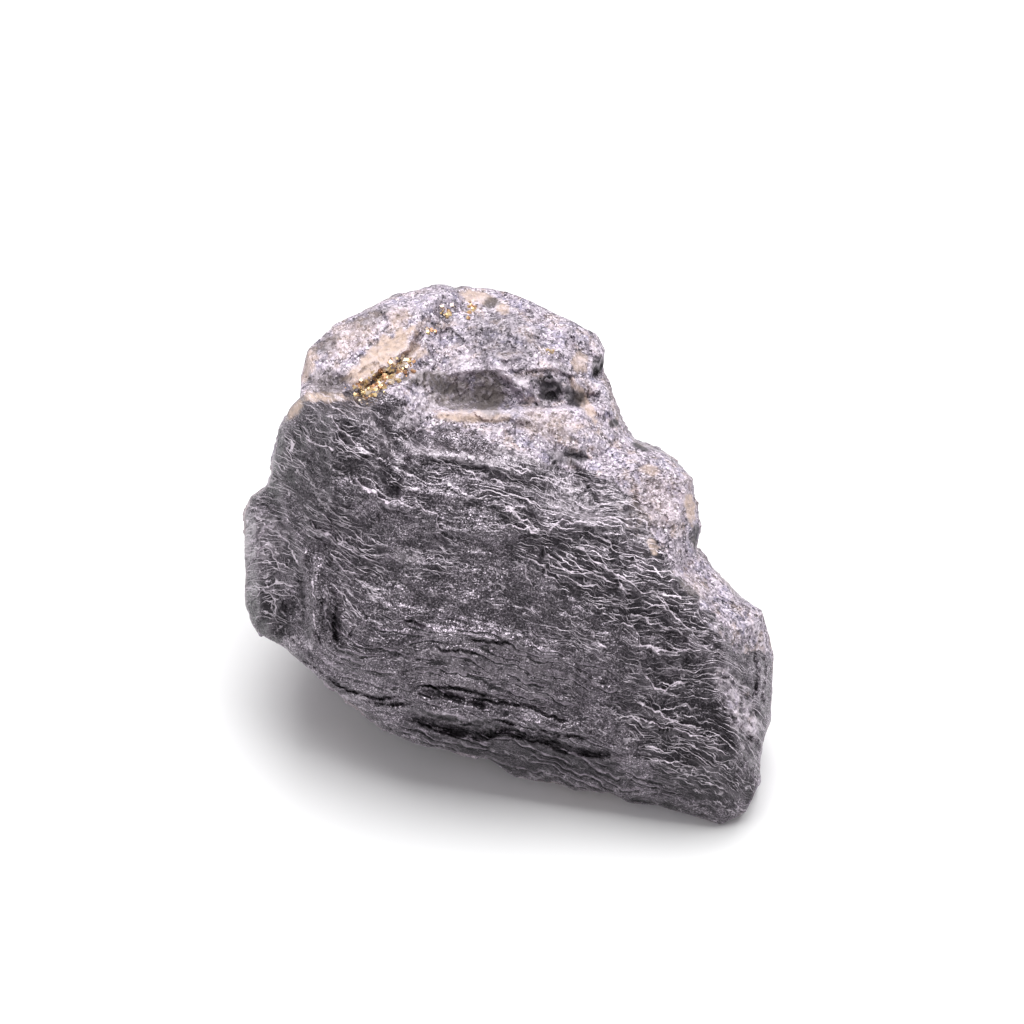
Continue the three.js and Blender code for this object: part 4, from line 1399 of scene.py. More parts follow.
    def fine_relief(self, points: Array) -> Array:
        """Cleaved and broken detail: grains of two sizes and square-cornered little steps.

        A little step's height is one draw for each block of a turned lattice. The steps show
        where facet noise is high, and the grains are weaker there.

        Args:
            points: In the face frame, shape (n, 3).

        Returns:
            Heights in mm, shape (n,).
        """
        turned = points @ turn_matrix(CLEAVAGE_TURNS_DEG)
        steps = sum(
            height * lattice_value(np.floor(turned / np.array(size)), SEED + 91 + n)
            for n, (size, height) in enumerate(self.little_steps)
        )
        places = facet_noise(points / self.cleaved_width, SEED + 93)
        cleaved = smoothstep(0.5 + self.cleaved_contrast * places)
        grains = sum(
            grain_relief(points, width, height, SEED + 94 + n)
            for n, (width, height) in enumerate(self.broken_grains)
        )
        return grains * (1 - self.cleaved_smoothing * cleaved) + steps * cleaved - self.relief_sink


# --- Finishes ---


@dataclass(frozen=True)
class Patches:
    """Patches of noise with a scale and a detail: none where it is under low, full over high."""

    scale: float
    detail: float
    low: float
    high: float


class Shader:
    """A material's nodes, laid out from the places they read to the surface they end in."""

    def __init__(self, name: str) -> None:
        """Starts a material that holds one Principled surface.

        Args:
            name: The material's name.
        """
        self.material = bpy.data.materials.new(name)
        self.material.use_nodes = True
        self.tree = self.material.node_tree
        self.tree.nodes.clear()
        output = self.tree.nodes.new("ShaderNodeOutputMaterial")
        self.surface = self.tree.nodes.new("ShaderNodeBsdfPrincipled")
        self.tree.links.new(self.surface.outputs["BSDF"], output.inputs["Surface"])

    def node(self, kind: str, *inputs: object, **settings: object) -> bpy.types.Node:
        """Adds a node.

        Args:
            kind: The node's type after "ShaderNode".
            *inputs: Its sockets' values or the sockets that feed them, in order; None is left.
            **settings: The node's own settings.

        Returns:
            The node.
        """
        node = self.tree.nodes.new("ShaderNode" + kind)
        for name, value in settings.items():
            setattr(node, name, value)
        for socket, value in zip(node.inputs, inputs):
            self.feed(socket, value)
        return node

    def feed(self, socket: Socket, value: object) -> None:
        """Links a socket to another one, or sets its value.

        Args:
            socket: The socket to feed.
            value: Another socket, a value, or None to leave it.
        """
        if isinstance(value, Socket):
            self.tree.links.new(value, socket)
        elif value is not None:
            socket.default_value = value

    def math(self, operation: str, *values: object) -> Socket:
        """The result of one sum on numbers."""
        return self.node("Math", *values, operation=operation).outputs[0]

    def plus(self, first: object, second: object) -> Socket:
        """Two numbers added."""
        return self.math("ADD", first, second)

    def times(self, first: object, second: object) -> Socket:
        """Two numbers multiplied."""
        return self.math("MULTIPLY", first, second)

    def scaled(self, value: object, factor: object, start: object) -> Socket:
        """A number times a factor, plus a start."""
        return self.math("MULTIPLY_ADD", value, factor, start)

    def between(self, share: object, ends: Pair) -> Socket:
        """The first number where the share is 0, the second where it is 1."""
        return self.scaled(share, ends[1] - ends[0], ends[0])

    def larger(self, first: object, second: object) -> Socket:
        """The larger of two numbers."""
        return self.math("MAXIMUM", first, second)

    def vector(self, operation: str, *values: object) -> Socket:
        """The result of one sum on vectors."""
        return self.node("VectorMath", *values, operation=operation).outputs[0]

    def parts(self, vector: Socket) -> list[Socket]:
        """The three numbers of a vector."""
        return list(self.node("SeparateXYZ", vector).outputs)

    def attribute(self, name: str) -> Socket:
        """One of the mesh's own vectors."""
        return self.node("Attribute", attribute_name=name).outputs["Vector"]

    def joined(self, *numbers: object) -> Socket:
        """The vector of three numbers."""
        return self.node("CombineXYZ", *numbers).outputs[0]

    @cached_property
    def place(self) -> Socket:
        """Where on the piece, in mm."""
        return self.vector("MULTIPLY", self.node("TexCoord").outputs["Object"], (1 / MM,) * 3)

    def ramp(self, value: object, low: float, high: float) -> Socket:
        """0 below low, 1 above high and eased between."""
        return self.node("MapRange", value, low, high, 0.0, 1.0, interpolation_type="SMOOTHSTEP").outputs[0]

    def band(self, value: object, band: Band) -> Socket:
        """0 up to the band's start, 1 from full to fade, 0 past its end, and eased between."""
        start, full, fade, end = band
        return self.times(self.ramp(value, start, full), self.ramp(value, end, fade))

    def noise(self, scale: float, detail: float, place: Socket | None = None) -> Socket:
        """Noise.

        Args:
            scale: About how many of its waves fit along a millimetre.
            detail: Its octaves.
            place: Where, if not simply on the piece.

        Returns:
            From 0 to 1.
        """
        node = self.node("TexNoise")
        self.feed(node.inputs["Vector"], place or self.place)
        self.feed(node.inputs["Scale"], scale)
        self.feed(node.inputs["Detail"], detail)
        return node.outputs[0]

    def grains(self, width: float) -> Socket:
        """Grains that fill the piece.

        Args:
            width: Their width in mm.

        Returns:
            Each grain's own draw of three numbers.
        """
        node = self.node("TexVoronoi")
        self.feed(node.inputs["Vector"], self.place)
        self.feed(node.inputs["Scale"], 1 / width)
        return node.outputs["Color"]

    def patches(self, patches: Patches, place: Socket | None = None) -> Socket:
        """How strongly patches cover a place, from 0 to 1."""
        return self.ramp(self.noise(patches.scale, patches.detail, place), patches.low, patches.high)

    def blend(self, share: object, first: object, second: object) -> Socket:
        """Blends two colours.

        Args:
            share: The second colour's share, from 0 to 1.
            first: A colour.
            second: Another.

        Returns:
            The blend.
        """
        node = self.node("Mix", data_type="RGBA")
        for index, value in ((0, share), (6, first), (7, second)):
            self.feed(node.inputs[index], value)
        return node.outputs[2]


@dataclass(frozen=True)
class GalenaFinish:
    """Lead-grey metal lustre, torn on the shear face and sparkling where it is coarse."""

    sheared: Colour = (0.050, 0.0435, 0.052, 1)
    rubbed: Colour = (0.345, 0.295, 0.35, 1)
    coarse: Colour = (0.43, 0.365, 0.44, 1)
    tan: Colour = (0.60, 0.46, 0.39, 1)
    brown: Colour = (0.17, 0.142, 0.135, 1)
    violet: Colour = (0.33, 0.31, 0.46, 1)
    milky: Colour = (0.68, 0.61, 0.67, 1)
    # dark also paints shade into hollows and pits, and white paints highlights on edges and lines.
    dark: Colour = (0.024, 0.021, 0.025, 1)
    crack: Colour = (0.010, 0.009, 0.011, 1)
    white: Colour = (0.88, 0.79, 0.88, 1)

    # On the coarse skin and on the shear face.
    metallic: Pair = (0.38, 0.83)
    glint_share: Pair = (1.0, 0.8)
    # Strength of the painted shade that darkens grooves.
    hollow_shade: Pair = (0.3, 0.65)
    # Share of the painted highlight that lightens crests.
    painted_edge_highlight: Pair = (1.0, 0.3)

    # The coarse skin's roughness, how far noise varies it, what the face and a crust add to it,
    # and the share of the metal that shows through a crust.
    roughness: float = 0.5
    roughness_noise: float = 0.2
    sheared_roughness: float = -0.32
    crust_roughness: float = 0.3
    crust_metal: float = 0.25

    # Glinting grains: widths in mm and how far their flats tilt.
    glint_widths: Triple = (1.0, 0.4, 0.22)
    glint_tilts: Triple = (0.16, 0.28, 0.45)

    # Torn relief, in mm.
    lip_width: float = 0.18
    fray: float = 0.13
    edge_height: float = 0.3
    wisp_widths: Pair = (1.5, 0.6)
    wisp_heights: Pair = (0.09, 0.04)
    bed_pitch: float = 1.15
    parting_depth: float = 0.28
    grain_height: float = 0.09

    # Noise that bends the beds: scale along and across them, its slice, and its height in beds.
    bed_scale: Pair = (0.13, 0.5)
    bed_slice: float = 9.1
    bed_wave: float = 3.0
    wisp_stretch: float = 2.2  # a wisp's length over its width

    # Where each starts, is full, fades and ends.
    edge_step: Band = (-0.02, 0.22, 0.3, 2.0)
    edge_line: Band = (-0.05, 0.05, 0.15, 0.28)
    parting_line: Band = (0.62, 0.86, 0.95, 1.0)
    lit_line: Band = (0.0, 0.05, 0.1, 0.26)
    wisp_line: Band = (0.485, 0.505, 0.515, 0.54)

    # How strongly each shows; the lit lines, the wisps' lines and the crests are painted highlights.
    lit_shine: float = 0.65
    parting_shade: float = 0.9
    painted_wisp_highlight: float = 0.55
    painted_crest_highlight: float = 0.3
    # Strength of the painted shade for small pits.
    pit_shade: float = 0.6
    tint_share: float = 0.5
    rub_share: float = 0.12

    # Where torn edges, beds and wisps show, and where the colours and the stains lie.
    edge_runs: Patches = Patches(0.45, 3.0, 0.3, 0.45)
    bed_runs: Patches = Patches(1.3, 3.0, 0.4, 0.52)
    wisp_runs: Patches = Patches(0.8, 1.0, 0.52, 0.66)
    bright: Patches = Patches(0.22, 4.0, 0.3, 0.7)
    violet_tint: Patches = Patches(0.31, 3.0, 0.5, 0.66)
    tan_tint: Patches = Patches(0.43, 3.0, 0.5, 0.66)
    rubbing: Patches = Patches(0.3, 4.0, 0.36, 0.66)
    grit: Patches = Patches(3.4, 3.0, 0.5, 0.64)
    crumbs: Patches = Patches(1.1, 4.0, 0.36, 0.56)
    flecks: Patches = Patches(0.9, 5.0, 0.46, 0.54)
    pits: Patches = Patches(1.5, 2.0, 0.6, 0.67)
    spots: tuple[Patches, Patches] = (Patches(4.0, 2.0, 0.585, 0.655), Patches(6.5, 2.0, 0.63, 0.7))

    # Pale and dark grains: width in mm, how strong, and what share of the grains.
    sugar_grains: tuple[Triple, ...] = (
        (0.9, 0.35, 0.38), (0.42, 0.65, 0.2), (0.24, 0.8, 0.15),
    )

    def torn_bump(self, shader: Shader) -> tuple[Socket, Socket]:
        """All the lamellae and torn edges, crisper and more frayed than the mesh can show them.

        Each lamella rises slowly across itself and drops at its lip, which makes a line that the finish
        paints as a highlight.

        Args:
            shader: The material.

        Returns:
            Height in mm, and the edges' lines from 0 to 1, which the finish paints as highlights.
        """
        distance, edge, _ = shader.parts(shader.attribute("torn_edge"))
        fray = shader.scaled(shader.noise(1.5, 3.0), 4 * self.fray, -2 * self.fray)
        distance = shader.plus(distance, fray)
        step = shader.band(distance, self.edge_step)
        lines = shader.band(distance, self.edge_line)
        edge = shader.times(edge, shader.patches(self.edge_runs))
        height = shader.times(shader.times(step, edge), self.edge_height)
        lines = shader.times(lines, edge)
        for number, layer in enumerate(LAMELLAE):
            order, strength, _ = shader.parts(shader.attribute(f"lamellae_{number}"))
            order = shader.scaled(fray, 0.7 / layer.pitch, order)
            lip = self.lip_width * (0.5 + 0.5 * layer.height / LAMELLAE[0].height) / layer.pitch
            across = shader.math("FRACT", order)
            rise = shader.math("DIVIDE", across, 1 - lip)
            fall = shader.math("DIVIDE", shader.math("SUBTRACT", 1.0, across), lip)
            profile = shader.times(shader.math("MINIMUM", rise, fall), strength)
            height = shader.plus(height, shader.times(profile, 0.5 * layer.height))
            line = shader.times(shader.ramp(across, 1 - 1.1 * lip, 1 - 0.5 * lip), strength)
            lines = shader.larger(lines, line)
        return height, lines

    def bedding(self, shader: Shader, psi: object, phi: object) -> tuple[Socket, Socket]:
        """Fine dark parting lines, broken along their length, and the lit edge beside each.

        A line lies where the place across the beds, bent by noise, nears a whole number of beds.

        Args:
            shader: The material.
            psi, phi: Places along and across the tearing, in mm.

        Returns:
            The dark lines and the lit edges, from 0 to 1 each.
        """
        along, across = self.bed_scale
        place = shader.joined(shader.times(psi, along), shader.times(phi, across), self.bed_slice)
        wave = shader.times(shader.noise(1.0, 4.0, place), self.bed_wave)
        beds = shader.math("DIVIDE", phi, self.bed_pitch)
        across = shader.math("FRACT", shader.plus(beds, wave))
        broken = shader.patches(self.bed_runs, place)
        line = shader.band(across, self.parting_line)
        lit = shader.band(across, self.lit_line)
        return shader.times(line, broken), shader.times(lit, broken)

    def wisps(self, shader: Shader, psi: object, phi: object) -> tuple[Socket, Socket]:
        """Small torn steps that wind about along the tearing, and the thin lines of their edges, painted as
        highlights.

        A step lies where noise, drawn out along the tearing, passes its middle value.

        Args:
            shader: The material.
            psi, phi: Places along and across the tearing, in mm.

        Returns:
            Height in mm, and the edges' lines from 0 to 1, which the finish paints as highlights.
        """
        height, lines = 0.0, 0.0
        for width, step in zip(self.wisp_widths, self.wisp_heights):
            along = shader.math("DIVIDE", psi, self.wisp_stretch * width)
            place = shader.joined(along, shader.math("DIVIDE", phi, width), width)
            level = shader.noise(1.0, 2.5, place)
            height = shader.scaled(shader.ramp(level, 0.49, 0.52), step, height)
            line = shader.band(level, self.wisp_line)
            line = shader.times(line, shader.patches(self.wisp_runs, place))
            lines = shader.larger(lines, line)
        return height, lines

    def sugar(self, shader: Shader) -> Socket:
        """The coarse skin's colour: tinted patches, grains of three sizes and lightnesses, and painted
        shade for pits.

        Args:
            shader: The material.

        Returns:
            The colour.
        """
        bright = shader.patches(self.bright)
        colour = shader.blend(bright, shader.blend(0.3, self.coarse, self.dark), self.coarse)
        for tint, patches in ((self.violet, self.violet_tint), (self.tan, self.tan_tint)):
            share = shader.times(shader.patches(patches), self.tint_share)
            colour = shader.blend(share, colour, tint)
        for width, share, rare in self.sugar_grains:
            draw = shader.parts(shader.grains(width))[0]
            pale = shader.times(shader.ramp(draw, 1 - rare, 1 - rare / 3), share)
            colour = shader.blend(pale, colour, self.white)
            dark = shader.times(shader.ramp(draw, rare, rare / 3), share)
            colour = shader.blend(dark, colour, self.dark)
        # Painted shade: dark noise spots stand for small pits.
        pits = shader.times(shader.patches(self.pits), self.pit_shade)
        return shader.blend(pits, colour, self.dark)

    def slick(self, shader: Shader, torn: object) -> Socket:
        """The shear face's colour: dark metal, rubbed lighter in grit and in spots where not torn.

        Args:
            shader: The material.
            torn: How torn the face is, from 0 to 1.

        Returns:
            The colour.
        """
        rubbed = shader.patches(self.rubbing)
        often = shader.times(shader.between(rubbed, (0.3, 0.9)), shader.between(torn, (1.0, 0.25)))
        grit = shader.times(shader.patches(self.grit), often)
        colour = shader.blend(grit, self.sheared, self.rubbed)
        colour = shader.blend(shader.times(rubbed, self.rub_share), colour, self.rubbed)
        for patches in self.spots:
            spots = shader.times(shader.patches(patches), often)
            colour = shader.blend(spots, colour, self.white)
        return colour

    def ragged(self, shader: Shader, sheared: object, seen: object) -> Socket:
        """Makes the change from the shear face to the coarse skin a ragged line on the seen side.

        Args:
            shader: The material.
            sheared: 1 on the shear face and 0 on the coarse skin, changing slowly.
            seen: 1 on the seen side.

        Returns:
            The share of the shear face, from 0 to 1.
        """
        noise = shader.scaled(shader.noise(0.8, 4.0), 1.2, -0.6)
        edge = shader.ramp(shader.plus(sheared, noise), 0.38, 0.62)
        return shader.scaled(shader.math("SUBTRACT", edge, sheared), seen, sheared)

    def stains(self, shader: Shader) -> tuple[Socket, Socket, Socket, Socket]:
        """The stains and the painted shade and light, crumbled by noise; dark places and white places share
        one number of the mesh.

        Args:
            shader: The material.

        Returns:
            How strong tan, brown, dark and white are, from 0 to 1 each.
        """
        tan, brown, shade = shader.parts(shader.attribute("stain"))
        crumbled = shader.patches(self.crumbs)
        tan = shader.times(tan, shader.between(crumbled, (0.68, 0.98)))
        brown = shader.times(brown, shader.between(crumbled, (0.42, 0.87)))
        dark = shader.larger(shade, 0.0)
        white = shader.larger(shader.times(shade, -1.0), 0.0)
        white = shader.times(white, shader.between(shader.patches(self.flecks), (0.25, 1.0)))
        return tan, brown, dark, white

    def glinting_normal(self, shader: Shader, sheared: object) -> Socket:
        """The surface's normal, tilted by each grain's own amount.

        Args:
            shader: The material.
            sheared: 1 on the shear face, where the tilts are slight.

        Returns:
            A unit vector.
        """
        normal = shader.node("NewGeometry").outputs["Normal"]
        share = shader.between(sheared, self.glint_share)
        for width, tilt in zip(self.glint_widths, self.glint_tilts):
            draw = shader.vector("SUBTRACT", shader.grains(width), (0.5, 0.5, 0.5))
            lean = shader.node("VectorMath", draw, operation="SCALE")
            shader.feed(lean.inputs["Scale"], shader.times(share, tilt))
            normal = shader.vector("ADD", normal, lean.outputs[0])
        return shader.vector("NORMALIZE", normal)

    def lustre(self, shader: Shader, sheared: object, crust: object) -> None:
        """Sets how metallic and how rough the surface is.

        Args:
            shader: The material.
            sheared: The share of the shear face.
            crust: How far stains and the painted highlights on edges cover the metal.
        """
        metal = shader.between(sheared, self.metallic)
        metal = shader.times(metal, shader.between(crust, (1.0, self.crust_metal)))
        shader.feed(shader.surface.inputs["Metallic"], metal)
        rough = shader.scaled(shader.noise(0.9, 2.0), self.roughness_noise, self.roughness)
        rough = shader.scaled(sheared, self.sheared_roughness, rough)
        rough = shader.scaled(crust, self.crust_roughness, rough)
        shader.feed(shader.surface.inputs["Roughness"], rough)

    def raise_relief(self, shader: Shader, relief: object, sheared: object) -> None:
        """Sets the surface's normal: glinting grains, raised by the relief and by fine grain.

        Args:
            shader: The material.
            relief: Height in mm.
            sheared: The share of the shear face.
        """
        relief = shader.scaled(shader.noise(2.6, 3.0), self.grain_height, relief)
        bump = shader.node("Bump")
        shader.feed(bump.inputs["Strength"], 1.0)
        shader.feed(bump.inputs["Distance"], MM)
        shader.feed(bump.inputs["Height"], relief)
        shader.feed(bump.inputs["Normal"], self.glinting_normal(shader, sheared))
        shader.feed(shader.surface.inputs["Normal"], bump.outputs["Normal"])

    def material(self) -> bpy.types.Material:
        """Makes the material: the metal's colours, then stains, painted shade in hollows, and lines and
        edges painted as highlights on them.
        """
        shader = Shader("galena")
        psi, phi, bedded = shader.parts(shader.attribute("flow"))
        sheared, crest, seen = shader.parts(shader.attribute("relief"))
        torn = shader.parts(shader.attribute("torn_edge"))[2]
        sheared = self.ragged(shader, sheared, seen)
        tan, brown, dark, white = self.stains(shader)
        parting, lit = (shader.times(part, bedded) for part in self.bedding(shader, psi, phi))
        # Painted shade: where the relief sinks below its neighbourhood, the colour is blended toward dark.
        hollow = shader.larger(shader.times(crest, -1.0), 0.0)
        hollow = shader.times(hollow, shader.between(sheared, self.hollow_shade))
        height, lines = self.torn_bump(shader)
        more, wisps = self.wisps(shader, psi, phi)
        height = shader.plus(height, more)
        lines = shader.larger(lines, shader.times(wisps, self.painted_wisp_highlight))
        lines = shader.times(lines, shader.between(bedded, (1.0, 0.4)))
        # Painted highlight: crests and the lines of lips, torn edges and wisps are blended toward white,
        # and as crust they make the metal duller and rougher.
        edge = shader.times(shader.larger(crest, 0.0), self.painted_crest_highlight)
        edge = shader.times(edge, shader.between(sheared, self.painted_edge_highlight))
        edge = shader.larger(edge, shader.times(lines, sheared))

        colour = shader.blend(sheared, self.sugar(shader), self.slick(shader, torn))
        # Tan and brown are stains. The dark and white places are partly patches and partly painted shade
        # and light. Hollows get painted shade, the lit lines a painted highlight in the rubbed colour, the
        # parting lines the crack colour, and edges a painted highlight in white.
        for share, layer in (
            (tan, self.tan), (white, self.milky), (dark, self.dark), (brown, self.brown),
            (hollow, self.dark), (shader.times(lit, self.lit_shine), self.rubbed),
            (shader.times(parting, self.parting_shade), self.crack), (edge, self.white),
        ):
            colour = shader.blend(share, colour, layer)
        shader.feed(shader.surface.inputs["Base Color"], colour)

        crust = shader.larger(shader.larger(shader.larger(tan, brown), white), edge)
        self.lustre(shader, sheared, crust)
        relief = shader.scaled(parting, -self.parting_depth, shader.times(height, sheared))
        self.raise_relief(shader, relief, sheared)
        return shader.material


@dataclass(frozen=True)
class PyriteFinish:
    """Brassy metal, redder or paler from grain to grain as the grain's draw rises."""

    brass: Colour = (0.74, 0.56, 0.30, 1)
    rust: Colour = (0.46, 0.25, 0.14, 1)
    pale: Colour = (0.78, 0.66, 0.54, 1)
    roughness: float = 0.4
    metallic: float = 0.6
    grain_width: float = 0.8
    rusting: Pair = (0.35, 0.6)
    paling: Pair = (0.66, 0.8)

    def material(self) -> bpy.types.Material:
        """Makes the material."""
        shader = Shader("pyrite")
        draw = shader.parts(shader.grains(self.grain_width))
        colour = shader.blend(shader.ramp(draw[0], *self.rusting), self.brass, self.rust)
        colour = shader.blend(shader.ramp(draw[1], *self.paling), colour, self.pale)
        shader.feed(shader.surface.inputs["Base Color"], colour)
        shader.feed(shader.surface.inputs["Metallic"], self.metallic)
        shader.feed(shader.surface.inputs["Roughness"], self.roughness)
        return shader.material


@dataclass(frozen=True)
class FloorFinish:
    """Matt white paper."""

    colour: Colour = (0.93, 0.93, 0.935, 1)
    roughness: float = 0.85

    def material(self) -> bpy.types.Material:
        """Makes the material."""
        shader = Shader("floor_paper")
        shader.feed(shader.surface.inputs["Base Color"], self.colour)
        shader.feed(shader.surface.inputs["Roughness"], self.roughness)
        return shader.material


# --- Pieces ---


def add_piece(name: str, points: Array, triangles: Array, material: bpy.types.Material) -> bpy.types.Object:
    """Puts a mesh of triangles into the scene, its object at the origin.

    Args:
        name: The piece's name.
        points: In metres, shape (n, 3).
        triangles: Corner indices, shape (m, 3).
        material: The piece's finish.

    Returns:
        The object.
    """
    mesh = bpy.data.meshes.new(name)
    mesh.from_pydata(points, [], triangles)
    mesh.materials.append(material)
    mesh.update()
    piece = bpy.data.objects.new(name, mesh)
    bpy.context.scene.collection.objects.link(piece)
    return piece


def give_vectors(mesh: bpy.types.Mesh, name: str, *parts: Array) -> None:
    """Stores three numbers for each vertex as one of the mesh's own vectors.

    Args:
        mesh: The mesh.
        name: What its finish reads them as.
        *parts: The three numbers, shape (n,) each.
    """
    layer = mesh.attributes.new(name, "FLOAT_VECTOR", "POINT")
    layer.data.foreach_set("vector", np.stack(parts, axis=-1).astype(np.float32).ravel())


@dataclass
class Lump:
    """The closed skin and its place on the bed.

    Attributes:
        rim_fade: Share of the hidden rings over which the fine relief grows from the rim.
        bed_fade: Height over the bed at which it is full, in mm.
        edge_relief: Share of it that is left on sharp edges.
    """

    face: FaceSide = field(default_factory=FaceSide)
    hidden: HiddenSide = field(default_factory=HiddenSide)
    frame: FaceFrame = field(default_factory=FaceFrame)
    crease_deg: float = 12.0
    rim_fade: float = 0.1
    bed_fade: float = 1.6
    edge_relief: float = 0.2
    flat_start: float = 0.6
    flat_range: float = 0.35
    seam: float = 0.01
    crest_start: float = 0.985
    crest_range: float = 0.03
    untorn: float = 0.15
    hidden_shear: float = 0.45
    hidden_tan: float = 0.18
    hidden_tan_width: float = 9.0
    shift: Array = field(default_factory=lambda: np.zeros(3))

    def placed(self, uvw: Array) -> Array:
        """Points of the face frame, tipped back and centred on the bed, in metres."""
        return (self.frame.tip_back(uvw) + self.shift) * MM

    def build(self, material: bpy.types.Material) -> bpy.types.Object:
        """Works out the skin and stores what its finish reads.

        Args:
            material: The galena finish.

        Returns:
            The skin's object.
        """
        front, share = self.face.points()
        back = self.hidden.points(self.face)
        points = np.concatenate([front, back])
        count = len(front)
        faces = grid_triangles(self.face.grid, front[:, 2])
        behind = grid_triangles(self.hidden.grid, back[:, 2])[:, ::-1] + count
        strip = strip_triangles(grid_border(self.face.grid), grid_border(self.hidden.grid) + count)
        triangles = np.concatenate([faces, behind, strip])

        normals, flatness = (part[count:] for part in vertex_normals(points, triangles))
        ring, _ = disc_grid(self.hidden.grid)
        height = self.frame.tip_back(back)[:, 2]
        fade = smoothstep((1 - ring) / self.rim_fade) * smoothstep(height / self.bed_fade)
        flat = smoothstep((flatness - self.flat_start) / self.flat_range)
        fade *= self.edge_relief + (1 - self.edge_relief) * flat
        points[count:] += normals * (self.hidden.fine_relief(back) * fade)[:, None]

        tipped = self.frame.tip_back(points)
        middle = (tipped.min(axis=0) + tipped.max(axis=0)) / 2
        goal = [(FRAME_BOX[0][k] + FRAME_BOX[1][k]) / 2 / MM for k in range(2)]
        self.shift = np.array([goal[0] - middle[0], goal[1] - middle[1], 0.0])
        placed = self.placed(points)
        placed[:, 2] = np.maximum(placed[:, 2], 0.0)

        piece = add_piece("galena_skin", placed, triangles, material)
        piece.data.shade_smooth()
        piece.data.set_sharp_from_angle(angle=math.radians(self.crease_deg))
        self.dress(piece.data, points, front, share)
        return piece

    def dress(self, mesh: bpy.types.Mesh, points: Array, front: Array, share: Array) -> None:
        """Stores the flow, the relief and the stains at every vertex.

        Args:
            mesh: The skin's mesh.
            points: All of its points in the face frame.
            front: The face side's points alone.
            share: Share of the outline's radius of the face side's points.
        """
        u, v, _ = points.T
        behind = np.ones(len(points))
        behind[: len(front)] = 1 - smoothstep((1 - share) / self.seam)
        seen = 1 - behind
        psi, phi = self.face.flow.at(u, v)
        give_vectors(mesh, "flow", psi, phi, trait_at(u, v, Trait.BEDDED) * seen)
        _, edge, edge_strength = self.face.torn_edges(u, v)
        torn = (self.untorn + (1 - self.untorn) * trait_at(u, v, Trait.TORN)) * seen
        give_vectors(mesh, "torn_edge", np.clip(edge, -3, 3), edge_strength, torn)
        for number, layer in enumerate(LAMELLAE):
            order, strength = layer.order(psi, phi)
            # The finish reads two numbers; the third only fills up the vector.
            give_vectors(mesh, f"lamellae_{number}", order, strength * torn, np.zeros_like(order))
        coarse = np.maximum(self.face.coarse(u, v), trait_at(u, v, Trait.COARSE))
        sheared = (1 - coarse) * seen + self.hidden_shear * behind
        # The crest is kept for the finish, which paints shade into its grooves and highlights onto its
        # edges.
        crest = np.zeros(len(points))
        inside = smoothstep((self.crest_start - share) / self.crest_range)
        crest[: len(front)] = self.face.crest(front[:, 2]) * inside
        give_vectors(mesh, "relief", sheared, crest, seen)
        # The dark and white places hold painted shade and light as well as patches of the ore.
        tan, brown, dark, white = (trait_at(u, v, trait) * seen for trait in STAINS_AND_PAINTED_LIGHT)
        patches = smoothstep(0.1 + 1.3 * facet_noise(points / self.hidden_tan_width, SEED + 96)) * behind
        give_vectors(mesh, "stain", tan + self.hidden_tan * patches, brown, dark - white)


@dataclass
class PyriteVein:
    """Brassy grains crowded along a band of the fissure and in a few spots above it.

    Attributes:
        thickness: The least and the most of a grain's lengths, in shares of its size.
        sink: Depth of a grain's middle under the skin, in shares of its size.
        spots: u, v and reach of each spot in mm, and its number of grains.
        spot_spread: How far grains stray in a spot, in shares of its reach.
    """

    band: Path = ((-22.6, 26.6), (-19.8, 28.2), (-17.2, 29.8), (-14.6, 31.4))
    count: int = 260
    smallest: float = 0.2
    largest: float = 0.8
    thickness: Pair = (0.7, 1.1)
    sink: float = 0.05
    spread: float = 0.8
    spot_spread: float = 0.6
    spots: tuple[tuple[float, float, float, int], ...] = (
        (-11.2, 36.9, 0.5, 7), (-8.8, 40.1, 0.8, 14), (-4.6, 40.4, 0.9, 12), (7.9, 33.4, 0.4, 7),
    )

    def places(self, rng: np.random.Generator) -> Array:
        """Draws where the grains sit.

        Args:
            rng: Draws the places.

        Returns:
            u and v, shape (n, 2).
        """
        path = np.array(self.band)
        along = rng.uniform(0.0, len(path) - 1.0, self.count)
        first = along.astype(int)
        part = (along - first)[:, None]
        on_path = path[first] * (1 - part) + path[first + 1] * part
        crowd = [on_path + rng.normal(0, self.spread, (self.count, 2))]
        for u, v, reach, count in self.spots:
            crowd.append(np.array([u, v]) + rng.normal(0, self.spot_spread * reach, (count, 2)))
        return np.concatenate(crowd)

    def build(self, lump: Lump, material: bpy.types.Material) -> bpy.types.Object:
        """Makes the grains as blocks that are turned at random and sunk a little into the skin.

        Args:
            lump: The lump they grow on.
            material: The pyrite finish.

        Returns:
            The joined grains.
        """
        rng = np.random.default_rng(SEED)
        u, v = self.places(rng).T
        angle = np.arctan2(v, u)
        depth = lump.face.depth(u, v, np.hypot(u, v) / rim_radius(angle))
        size = self.smallest + (self.largest - self.smallest) * rng.uniform(0, 1, len(u)) ** 2
        middle = np.stack([u, v, depth - self.sink * size], axis=-1)
        lengths = size[:, None] * rng.uniform(*self.thickness, (len(u), 3))
        points, triangles = turned_blocks(middle, lengths, rng)
        return add_piece("pyrite_grains", lump.placed(points), triangles, material)


